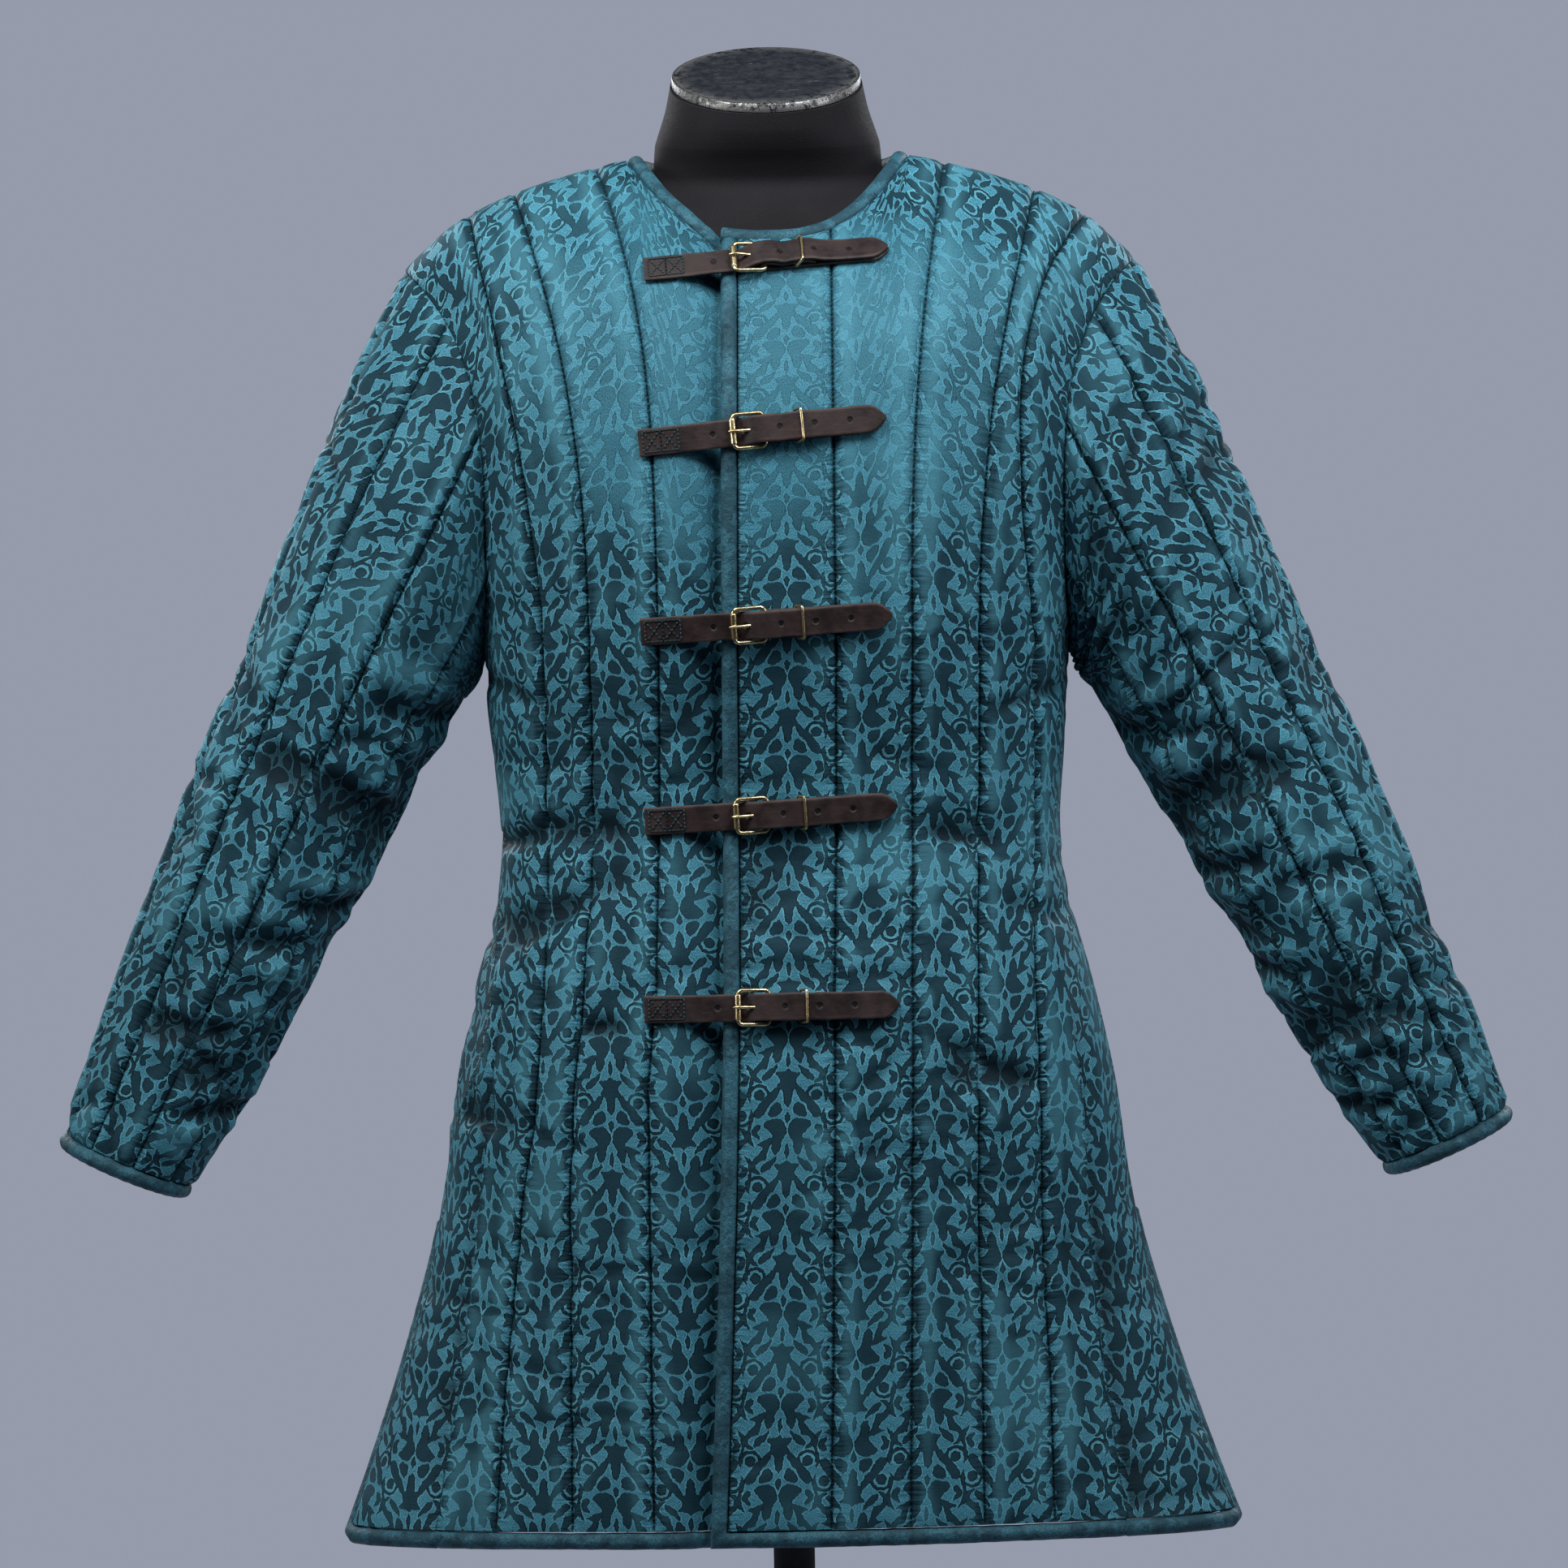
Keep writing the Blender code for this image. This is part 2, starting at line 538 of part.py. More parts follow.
def zip_rows(a, a_at, b, b_at):
    """Triangles between two rows of points of different counts, matched by their places along the row."""
    faces, i, j = [], 0, 0
    while i < len(a) - 1 or j < len(b) - 1:
        if j == len(b) - 1 or (i < len(a) - 1 and a_at[i + 1] <= b_at[j + 1]):
            faces.append((a[i], a[i + 1], b[j]))
            i += 1
        else:
            faces.append((a[i], b[j + 1], b[j]))
            j += 1
    return faces


def grid_faces(ids):
    return [
        (int(ids[r, c]), int(ids[r, c + 1]), int(ids[r + 1, c + 1]), int(ids[r + 1, c]))
        for r in range(ids.shape[0] - 1)
        for c in range(ids.shape[1] - 1)
    ]


def add_wall(name, outer, inner, rows, columns):
    """Padded cloth: a quilted outside and a plain inside that keeps only these rows and columns."""
    inner = inner[np.ix_(rows, columns)]
    out_ids = np.arange(outer.shape[0] * outer.shape[1]).reshape(outer.shape[:2])
    in_ids = np.arange(inner.shape[0] * inner.shape[1]).reshape(inner.shape[:2]) + out_ids.size
    places = [list(range(outer.shape[0])), list(range(outer.shape[1]))]
    faces = grid_faces(out_ids) + grid_faces(in_ids)
    for r in (0, -1):
        faces += zip_rows(out_ids[r], places[1], in_ids[r], columns)
        faces += zip_rows(out_ids[:, r], places[0], in_ids[:, r], rows)
    faces = [tuple(int(i) for i in face) for face in faces]
    return add_object(name, np.vstack([outer.reshape(-1, 3), inner.reshape(-1, 3)]), faces, BROCADE, 60)


def sweep(name, centres, across, out, profile, finish, closed=False):
    """A profile of (across, out) points, or one for each centre, carried along a row of centres."""
    profile = np.asarray(profile, float)
    if profile.ndim == 2:
        profile = np.broadcast_to(profile, (len(centres), *profile.shape))
    points = centres[:, None] + across[:, None] * profile[..., :1] + out[:, None] * profile[..., 1:]
    ids = np.arange(points.shape[0] * points.shape[1]).reshape(points.shape[:2])
    ids = np.hstack([ids, ids[:, :1]])
    if closed:
        ids = np.vstack([ids, ids[:1]])
    faces = grid_faces(ids)
    if not closed:
        faces += [tuple(int(i) for i in ids[0, :-1]), tuple(int(i) for i in ids[-1, :-1])]
    return add_object(name, points.reshape(-1, 3), faces, finish)


def tangents(path, closed=False):
    if closed:
        return unit(np.roll(path, -1, axis=0) - np.roll(path, 1, axis=0))
    return unit(np.gradient(path, axis=0))


def ring_profile(radius, sides, wide=None, offset=0.0):
    angles = (np.arange(sides) + 0.5) * 2 * math.pi / sides
    return np.stack([offset + (wide or radius) * np.cos(angles), radius * np.sin(angles)], axis=-1)


# ---------------------------------------------------------------- coat
CLIMB = (1 - np.cos(np.radians(SLEEVE_STEPS) + ARMHOLE_TURN * np.sin(np.radians(SLEEVE_STEPS)))) / 2
SET_IN = {"edge": 1.0, "under": 1.0, "rise": 0.45}
ROLL_SPACE = 2 * ROLL_WIDE + 3 * ROLL_GAP


def set_in_row(rows):
    """Share of the set-in at each column of the lower front."""
    shares = [SET_IN.get(row["name"], 0.0) for row in rows] + [0.0]
    row = []
    for k, line in enumerate(rows):
        row += [shares[k] + (shares[k + 1] - shares[k]) * w for w in channel_weights(line["steps"])]
    return np.array([*row, shares[-1]])


def panel(rows, sign, front, folds, set_in=False):
    """Outer, inner and mid-wall points of a panel's half, with its outward directions."""
    low_rows = LOW_ROWS if front else LOW_ROWS - BACK_DROP * np.clip(1 - LOW_ROWS / SLIT_TOP, 0, 1)
    points, inward, kept = panel_half(rows, sign, front, low_rows, CLIMB)
    facing = coat_normal(points)
    low = len(low_rows)
    inward = inward + fold_depth(folds, points[..., 0] * sign, points[..., 2])
    inward[:, -1] = PINCH
    kept = kept | (points[-1, :, 0] <= NECK_POINT + 1e-6)
    base = UNDERLAP_SET_IN * set_in_row(rows)[None, :, None] if set_in else 0.0
    outer = points - facing * (inward[..., None] + base)
    inner = points - facing * (WALL + base)
    middle = points - facing * ((PINCH + WALL) / 2 + base)
    # the side seam and the slit
    into_panel = unit(points[:low, -2] - points[:low, -1])
    back_off = np.where(low_rows < SLIT_TOP - 0.010, ROLL_SPACE, SEAM / 2)[:, None]
    # the armhole
    hole, into, _ = armhole_frame(np.radians(SLEEVE_STEPS) * (1 if front else -1))
    for wall, depth in ((outer, PINCH), (inner, SEAM_WALL), (middle, (PINCH + SEAM_WALL) / 2)):
        wall[:low, -1] += into_panel * back_off
        wall[low - 1 :, -1] = hole + into * depth
        wall[low - 1, -1, 1] += SEAM / 2 * (-1 if front else 1)
        # the shoulder seam
        past_neck = points[-1, :, 0] >= NECK_POINT - 1e-6
        wall[-1, past_neck, 1] = SEAM / 2 * (-1 if front else 1)
    for wall in (outer, inner, middle, facing):
        wall[..., 0] *= sign
    return {"outer": outer, "inner": inner, "middle": middle, "facing": facing, "kept": kept}


def join_halves(right, left):
    """One panel from its two halves, which share the first column."""
    walls = ("outer", "inner", "middle", "facing")
    whole = {key: np.concatenate([right[key][:, :0:-1], left[key]], axis=1) for key in walls}
    whole["kept"] = np.concatenate([right["kept"][:0:-1], left["kept"]])
    return whole


# Rows that the plain inside keeps, of a panel and of a sleeve
INNER_ROWS = [0, 2, 4, 5, 6, 7, 8, 9, 10, 12, 14, 16, 18] + [18 + k for k in range(2, len(CLIMB), 2)]
INNER_RINGS = [0, 2, 4, 5, 7, 9, 11, 13, len(SLEEVE_ROWS) - 1]

left_front = panel(LEFT_FRONT_LINES, 1, True, FRONT_FOLDS)
right_front = panel(RIGHT_FRONT_LINES, -1, True, FRONT_FOLDS, set_in=True)
back = join_halves(panel(BACK_LINES, -1, False, BACK_FOLDS), panel(BACK_LINES, 1, False, BACK_FOLDS))
for name, piece in (("front_left", left_front), ("front_right", right_front)):
    kept_columns = [int(i) for i in np.flatnonzero(piece["kept"])]
    add_wall(name, piece["outer"], piece["inner"], INNER_ROWS, kept_columns)


def add_half(name, piece, rows, run, kept, seams):
    """A wall from one run of a piece's columns, drawn back from its seams by half the gap between pieces."""
    walls = []
    for key in ("outer", "inner"):
        wall = piece[key][:, run].copy()
        for end, beside in seams:
            wall[:, end] += unit(piece[key][:, run[beside]] - piece[key][:, run[end]]) * SEAM / 2
        walls.append(wall)
    add_wall(name, *walls, rows, kept)


# The back is cut in two, with a seam down its middle
BACK_MIDDLE = back["outer"].shape[1] // 2
for name, run, seam in (
    ("back_right", list(range(BACK_MIDDLE + 1)), (-1, -2)),
    ("back_left", list(range(BACK_MIDDLE, back["outer"].shape[1])), (0, 1)),
):
    add_half(name, back, INNER_ROWS, run, [k for k, column in enumerate(run) if back["kept"][column]], [seam])


def sleeve(sign, folds):
    """Outer and inner points of a sleeve, ring by ring, from the armhole to the cuff."""
    steps = np.radians([*SLEEVE_STEPS, *(360 - a for a in SLEEVE_STEPS[-2:0:-1])])
    angle, place = np.meshgrid(steps, SLEEVE_ROWS)
    base, facing = sleeve_point(angle, place), sleeve_normal(angle, place)
    on_line = np.isin(np.round(np.degrees(steps)), [*SLEEVE_LINES, *(360 - a for a in SLEEVE_LINES)])
    inward = GROOVE * on_line[None, :] * np.ones_like(angle)
    for at, middle, half_turn, depth, reach in zip(*folds.values()):
        off = np.abs((np.degrees(angle) - middle + 180) % 360 - 180)
        share = np.exp(-(((place - at) * SLEEVE_LENGTH / reach) ** 2))
        inward = inward + depth * share * (1 - smooth(*FOLD_ENDS, off / half_turn))
    inward[-1] = np.maximum(inward[-1], PINCH)
    outer, inner = base - facing * inward[..., None], base - facing * WALL
    hole, into, over = armhole_frame(np.where(steps > math.pi, steps - 2 * math.pi, steps))
    outer[0] = hole + into * PINCH + over * SEAM
    inner[0] = hole + into * SEAM_WALL + over * SEAM
    middle = base[-1] - facing[-1] * (PINCH + WALL) / 2
    for points in (outer, inner, facing, middle):
        points[..., 0] *= sign
    return {"outer": outer, "inner": inner, "facing": facing, "middle": middle}


left_sleeve, right_sleeve = sleeve(1, LEFT_SLEEVE_FOLDS), sleeve(-1, RIGHT_SLEEVE_FOLDS)

# A sleeve is cut in two, with a seam under the arm and one along a quilting line behind the shoulder
SLEEVE_ROUND = 2 * (len(SLEEVE_STEPS) - 1)
SLEEVE_SEAM = SLEEVE_ROUND - SLEEVE_STEPS.index(161)
for name, piece in (("sleeve_left", left_sleeve), ("sleeve_right", right_sleeve)):
    for half, run in (
        ("front", list(range(SLEEVE_SEAM + 1))),
        ("behind", [0, *range(SLEEVE_ROUND - 1, SLEEVE_SEAM - 1, -1)]),
    ):
        add_half(f"{name}_{half}", piece, INNER_RINGS, run, list(range(0, len(run), 2)), [(0, 1), (-1, -2)])


# ---------------------------------------------------------------- bindings
ROLL = ring_profile(ROLL_THICK, ROLL_SIDES, ROLL_WIDE, ROLL_WIDE + ROLL_GAP)


def edge(piece, rows, columns, toward):
    """Middle of a bound edge, the way past it and the way out, for one straight run of the grid."""
    path, out = piece["middle"][rows, columns], piece["facing"][rows, columns]
    across = np.cross(tangents(path), out)
    return path, unit(across * np.sign((across * toward).sum(axis=-1, keepdims=True))), out


def round_corners(*runs):
    """Edges that meet end to end, as one run with a mitred station at each corner."""
    path, across, out = (list(part) for part in runs[0])
    for next_path, next_across, next_out in runs[1:]:
        first, second = across[-1], next_across[0]
        across[-1] = (first + second) / (1 + first @ second)
        out[-1] = unit(out[-1] + next_out[0])
        path += list(next_path[1:])
        across += list(next_across[1:])
        out += list(next_out[1:])
    return np.array(path), np.array(across), np.array(out)


# Rows of a panel that the bindings follow
SLIT_ROWS = np.array([4, 3, 2, 1, 0])
LAST_ROW = len(LOW_ROWS) + len(CLIMB) - 2
FRONT_ROWS = np.array([*range(0, LAST_ROW - 1, 2), LAST_ROW])


def past(piece, rows, column, before):
    """The bound edge along one column, going past it from the column before."""
    return edge(piece, rows, column, piece["middle"][rows, column] - piece["middle"][rows, before])


def past_hem(piece, columns):
    return edge(piece, 0, columns, piece["middle"][0, columns] - piece["middle"][1, columns])


def front_binding(piece):
    """Side slit, hem and front edge in one strip."""
    columns = np.arange(piece["middle"].shape[1])[::-1]
    side = past(piece, SLIT_ROWS, columns[0], columns[1])
    hem = past_hem(piece, columns)
    opening = past(piece, FRONT_ROWS, 0, 1)
    return round_corners(side, hem, opening)


def back_binding(piece):
    columns = np.arange(piece["middle"].shape[1])
    side = past(piece, SLIT_ROWS, 0, 1)
    hem = past_hem(piece, columns)
    other = past(piece, SLIT_ROWS[::-1], columns[-1], columns[-2])
    return round_corners(side, hem, other)


def at_neck(piece):
    """Columns of a panel's top row that lie on the neckline."""
    columns = np.arange(piece["middle"].shape[1])
    return columns[np.abs(piece["middle"][-1, :, 0]) <= NECK_POINT + 0.004]


def neck_run():
    """The neckline from the lower front's edge round the back to the upper front's edge."""
    under, behind, over = at_neck(right_front), at_neck(back), at_neck(left_front)[::-1]
    runs = [
        edge(piece, LAST_ROW, columns, NECK_AXIS - piece["middle"][LAST_ROW, columns])
        for piece, columns in ((right_front, under), (back, behind), (left_front, over))
    ]
    path = np.concatenate([runs[0][0], runs[1][0][1:-1], runs[2][0]])
    across = np.concatenate([runs[0][1], runs[1][1][1:-1], runs[2][1]])
    out = np.concatenate([runs[0][2], runs[1][2][1:-1], runs[2][2]])
    for corner in (len(under) - 1, len(path) - len(over)):
        across[corner] = unit(across[corner - 1] + across[corner + 1])
    end = path[-1] + unit(path[-1] - path[-2]) * ROLL_SPACE
    return np.vstack([path, end]), np.vstack([across, across[-1:]]), np.vstack([out, out[-1:]])


for name, run in (
    ("binding_front_left", front_binding(left_front)),
    ("binding_front_right", front_binding(right_front)),
    ("binding_back", back_binding(back)),
    ("neck_binding", neck_run()),
):
    sweep(name, *run, ROLL, BROCADE)
for name, piece in (("cuff_binding_left", left_sleeve), ("cuff_binding_right", right_sleeve)):
    path = piece["middle"]
    down = piece["outer"][-1] - piece["outer"][-2]
    across = np.cross(tangents(path, closed=True), piece["facing"][-1])
    across = unit(across * np.sign((across * down).sum(axis=-1, keepdims=True)))
    sweep(name, path, across, piece["facing"][-1], ROLL, BROCADE, closed=True)


# ---------------------------------------------------------------- buckled straps
def strap_frame(strap, at):
    """Crest points, the way out and the way across at distances from a strap's roller."""
    at = np.asarray(at, float)
    x, h = strap["roller_x"] + at, strap["height"] + strap["slope"] * at
    points = np.stack([x, -depth_at(x, h, True), h], axis=-1)
    out = coat_normal(points)
    ahead = np.stack([np.ones_like(at), 0 * at, strap["slope"] + 0 * at], axis=-1)
    across = unit(np.cross(ahead, out))
    return points, out, across


def strap_points(strap, at, out):
    """Points above the crest, and the way across there."""
    points, normal, across = strap_frame(strap, at)
    return points + normal * (np.asarray(out, float)[..., None] + STRAP_LIFT), across


def leather(name, strap, at, out, half, thick):
    """A flat strap through (at, out) stations with its half width at each."""
    centres, across = strap_points(strap, at, out)
    normal = unit(np.cross(tangents(centres), across))
    corners = np.array([(-1, -1), (1, -1), (1, 1), (-1, 1)]) * np.array([1.0, thick / 2])
    profile = corners * np.stack([half, np.ones_like(half)], axis=-1)[:, None]
    return sweep(name, centres, across, normal, profile, LEATHER)


def helper(made):
    made.hide_render = True
    made.display_type = "WIRE"
    return made


def combine(target, other, operation):
    change = target.modifiers.new(operation.lower(), "BOOLEAN")
    change.operation = operation
    change.solver = "EXACT"
    change.object = helper(other)


def cut_block(name, strap, cut, low, high):
    """A block across a strap's thickness, for a hole."""
    start, end, half = cut
    at = np.array([start, end])
    centres, across = strap_points(strap, at, np.full(2, (low + high) / 2))
    _, out, _ = strap_frame(strap, at)
    block = ring_profile((high - low) / math.sqrt(2), 4, half * math.sqrt(2))
    return sweep(name, centres, across, out, block, LEATHER)


def wire_loop(name, strap, stations, radius):
    """A closed round wire through (at, out, across) stations, in the strap's frame."""
    at, out, wide = np.array(stations).T
    points, across = strap_points(strap, at, out)
    path = points + across * wide[:, None]
    along = tangents(path, closed=True)
    inside = unit(path.mean(axis=0) - path)
    normal = unit(np.cross(along, inside))
    side = unit(np.cross(normal, along))
    return sweep(name, path, side, normal, ring_profile(radius, WIRE_SIDES), BRASS, closed=True)


def cut_corners(a0, a1, b0, b1, c):
    """The eight corners of a rectangle with its corners cut."""
    return [
        *((a0, b0 + c), (a0 + c, b0), (a1 - c, b0), (a1, b0 + c)),
        *((a1, b1 - c), (a1 - c, b1), (a0 + c, b1), (a0, b1 - c)),
    ]


def rod(name, strap, stations, radius, sides):
    """A straight round rod through (at, out, across) stations."""
    at, out, wide = np.array(stations).T
    points, across = strap_points(strap, at, out)
    path = points + across * wide[:, None]
    along = tangents(path)
    side = unit(np.cross(along, strap_frame(strap, at)[1]))
    return sweep(name, path, side, np.cross(side, along), ring_profile(radius, sides), BRASS)


def tongue_stations(strap):
    run = TONGUE_RUN["at"], TONGUE_RUN["out"]
    back, half = POINT["back"], POINT["half"]
    at = np.concatenate([[strap["start"]], run[0], strap["tip"] - back])
    out = np.concatenate([[TONGUE_START_OUT], run[1], np.full(len(back), run[1][-1])])
    return at, out, np.concatenate([np.full(len(at) - len(back), STRAP_HALF), STRAP_HALF * half])


def backing_stations(strap):
    back, half = POINT["back"], POINT["half"]
    flat = np.linspace(strap["tip"] - BACKING_FLAT[0], BAR_AT, BACKING_FLAT[1])
    turn = np.radians([225, 180, 135])
    point = strap["tip"] + BACKING_PAST - back[::-1]
    at = np.concatenate([point, flat, BAR_AT + LOOP_R * np.cos(turn), [BAR_AT], BACKING_TOP["at"]])
    flat_out = np.full(len(back) + len(flat), BACKING_OUT)
    out = [flat_out, BAR_OUT + LOOP_R * np.sin(turn), [BAR_OUT + LOOP_R], BACKING_TOP["out"]]
    whole = np.full(len(at) - len(back), STRAP_HALF)
    return at, np.concatenate(out), np.concatenate([STRAP_HALF * half[::-1], whole])


for number in range(len(STRAPS["roller_x"])):
    strap = {key: float(column[number]) for key, column in STRAPS.items()}
    tag = str(number + 1)

    tongue = leather("tongue_strap_" + tag, strap, *tongue_stations(strap), TONGUE_THICK)
    combine(tongue, cut_block("cut_hole_" + tag, strap, HOLE_CUT, 0, 2 * PRONG_OUT), "DIFFERENCE")

    backing = leather("buckle_strap_" + tag, strap, *backing_stations(strap), BACKING_THICK)
    combine(backing, cut_block("cut_slot_" + tag, strap, SLOT_CUT, *SLOT_DEPTH), "DIFFERENCE")

    rise = ROLLER_OUT - BAR_OUT
    frame = [
        (at, ROLLER_OUT - rise * np.clip(at / BAR_AT, 0, 1), wide)
        for at, wide in cut_corners(0.0, BAR_AT, -FRAME_HALF, FRAME_HALF, FRAME_CORNER)
    ]
    buckle = wire_loop("buckle_" + tag, strap, frame, BAR_R)
    roller = [(0.0, ROLLER_OUT, -ROLLER_HALF), (0.0, ROLLER_OUT, ROLLER_HALF)]
    combine(buckle, rod("roller_" + tag, strap, roller, ROLLER_R, ROLL_SIDES), "UNION")
    prong = [(BAR_AT, BAR_OUT, 0.0), (0.0, PRONG_OUT, 0.0), (PRONG_END, PRONG_OUT - PRONG_R / 2, 0.0)]
    combine(buckle, rod("prong_" + tag, strap, prong, PRONG_R, WIRE_SIDES), "UNION")

    around = cut_corners(*KEEPER_OUT, -KEEPER_HALF, KEEPER_HALF, KEEPER_CORNER)
    loop = [(KEEPER_AT, out, wide) for out, wide in around]
    wire_loop("keeper_" + tag, strap, loop, KEEPER_R)


# ---------------------------------------------------------------- dress form and stand
def rounds(name, sections, finish, power=2.0):
    """A round solid from sections of height, half width, front, back and lift at the back for each metre."""
    height, half_width, front, back, lift = np.array(sections, float).T
    turn = np.arange(ROUND_STEPS) * 2 * math.pi / ROUND_STEPS
    x = np.sign(np.cos(turn)) * np.abs(np.cos(turn)) ** (2 / power)
    y = np.sign(np.sin(turn)) * np.abs(np.sin(turn)) ** (2 / power)
    deep = y * np.where(y < 0, front[:, None], back[:, None])
    points = np.stack([half_width[:, None] * x, deep, height[:, None] + lift[:, None] * deep], axis=-1)
    ids = np.arange(points.shape[0] * ROUND_STEPS).reshape(points.shape[:2])
    ends = [tuple(int(i) for i in ids[r]) for r in (0, -1)]
    return add_object(name, points.reshape(-1, 3), grid_faces(np.hstack([ids, ids[:, :1]])) + ends, finish)


CAP_SLOPE = math.tan(CAP_TILT)
form_sections = np.column_stack([*list(FORM.values())[:4], FORM["tilt"] * CAP_SLOPE])
rounds("form_torso", form_sections, FORM_CLOTH, FORM_POWER)

CAP_DEEP = CAP_R * math.cos(CAP_TILT)
CAP_DROP = CAP_THICK / math.cos(CAP_TILT)
cap_rings = ((CAP_DROP, CAP_BEVEL), (CAP_DROP - CAP_BEVEL, 0.0), (CAP_BEVEL, 0.0), (0.0, CAP_BEVEL))
rounds(
    "neck_cap",
    [
        (CAP_HEIGHT - drop, CAP_R - narrow, CAP_DEEP - narrow, CAP_DEEP - narrow, CAP_SLOPE)
        for drop, narrow in cap_rings
    ],
    CAP_PAINT,
)


def turned(name, sections):
    """A turned piece of the stand, from heights above the floor and radii."""
    rounds(name, [(height - HEM_Z, radius, radius, radius, 0.0) for height, radius in sections], STAND_METAL)


FORM_BOTTOM = HEM_Z + float(FORM["height"][0])
turned("stand_pole", [(BASE_THICK + SEAM, POLE_R), (FORM_BOTTOM - SEAM, POLE_R)])
turned(
    "stand_base",
    [
        (0.0, BASE_R - BASE_BEVEL / 2),
        (BASE_BEVEL / 2, BASE_R),
        (BASE_THICK - BASE_BEVEL, BASE_R),
        (BASE_THICK, BASE_R - BASE_BEVEL),
    ],
)
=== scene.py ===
import math

import bmesh
import bpy
import numpy as np
from mathutils import Matrix, Vector, noise


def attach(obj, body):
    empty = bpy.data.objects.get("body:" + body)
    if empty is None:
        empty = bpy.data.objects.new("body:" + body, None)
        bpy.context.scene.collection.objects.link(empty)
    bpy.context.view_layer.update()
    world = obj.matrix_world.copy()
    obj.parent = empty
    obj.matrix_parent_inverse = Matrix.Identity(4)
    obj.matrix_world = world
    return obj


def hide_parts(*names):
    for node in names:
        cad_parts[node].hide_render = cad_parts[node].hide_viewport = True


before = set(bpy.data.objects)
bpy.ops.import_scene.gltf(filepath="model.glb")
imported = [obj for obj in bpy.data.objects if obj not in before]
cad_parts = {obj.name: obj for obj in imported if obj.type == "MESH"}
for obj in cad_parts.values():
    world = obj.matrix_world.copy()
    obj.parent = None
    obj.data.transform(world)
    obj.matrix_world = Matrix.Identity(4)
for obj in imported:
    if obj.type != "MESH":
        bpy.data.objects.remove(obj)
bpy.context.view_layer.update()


def table(names, *rows):
    """Columns by name, one row for each section or line."""
    return dict(zip(names.split(), np.array(rows, float).T))


# ---------------------------------------------------------------- driving sizes
HEM_Z = 0.42  # the hem above the floor
SEAM = 0.0003  # gap between neighbouring pieces
WALL = 0.009  # padded cloth, from the crest of a channel to the plain inside
PINCH = 0.0015  # how far a seam or a bound edge is drawn in from the crest
SEAM_WALL = 0.0070  # padding left at the armhole seam
UNDERARM = 0.590
SHOULDER = 0.848
SLIT_TOP = 0.220  # top of the side slits
SLIT_SPREAD = 0.070  # how far a slit's edge stands forward or back at the hem
UNDERLAP_SET_IN = 0.0135  # how far the lower front lies inside the upper one
BACK_DROP = 0.015  # the back hem hangs this much lower
SPREAD = 0.28  # share of the sleeve that spreads out to the armhole
HEAD_PUFF = 0.004
ARMHOLE_TURN = math.radians(16)  # the sleeve's lines turn towards the shoulder as they reach the armhole
ARMHOLE_X = 0.192  # the armhole's half width across the chest
SHOULDER_OUT = 0.055  # it leans out by this much to the shoulder
UNDERARM_OUT = 0.006  # and by this much to the underarm

# The coat's outline, crest to crest, and the roundness of its section
OUTLINE = table(
    "height half_width front back power",
    (-0.020, 0.3112, 0.168, 0.160, 2.00),
    (0.000, 0.3044, 0.165, 0.157, 2.00),
    (0.050, 0.2856, 0.162, 0.153, 2.00),
    (0.110, 0.2648, 0.158, 0.148, 2.05),
    (0.220, 0.2349, 0.154, 0.140, 2.20),
    (0.300, 0.2236, 0.150, 0.132, 2.35),
    (0.366, 0.2090, 0.143, 0.124, 2.50),
    (0.423, 0.1940, 0.134, 0.113, 2.50),
    (0.467, 0.1895, 0.128, 0.108, 2.50),
    (0.511, 0.1925, 0.131, 0.109, 2.50),
    (0.555, 0.1970, 0.139, 0.114, 2.50),
    (0.590, 0.1980, 0.146, 0.119, 2.50),
    (0.640, 0.2060, 0.151, 0.125, 2.50),
    (0.700, 0.2190, 0.152, 0.128, 2.50),
    (0.769, 0.2360, 0.142, 0.124, 2.50),
    (0.820, 0.2470, 0.122, 0.113, 2.50),
    (0.848, 0.2470, 0.106, 0.102, 2.50),
    (0.863, 0.2320, 0.091, 0.096, 2.50),
    (0.885, 0.2040, 0.067, 0.085, 2.50),
    (0.907, 0.1500, 0.044, 0.072, 2.50),
    (0.921, 0.0970, 0.030, 0.060, 2.50),
    (0.932, 0.0500, 0.018, 0.046, 2.50),
)
NECK_POINT = 0.096  # half width of the neck at the shoulder seam
NECK_AXIS = np.array([0.0, -0.008, 0.970])  # the neckline's binding leans towards this point
SEAM_STEPS = 400  # heights tried along the shoulder seam
FRONT_NECK = table("low rise power", (0.861, 0.060, 2.6))
BACK_NECK = table("low rise power", (0.908, 0.013, 2.0))

# Lengthwise lines of a panel at these heights, then where each ends at the top and how it bends there
LINE_HEIGHTS = np.array([0.0, 0.110, 0.220, 0.300, 0.366, 0.467, 0.590])


def lines(*rows):
    """Lines of a panel, as rows of name, x at each of LINE_HEIGHTS, x at the top, then two more.

    These are the power of the line's bend (0 follows the armhole) and its groove.
    """
    keys = "name x top bend groove".split()
    return [dict(zip(keys, (row[0], np.array(row[1:8]), *row[8:]))) for row in rows]


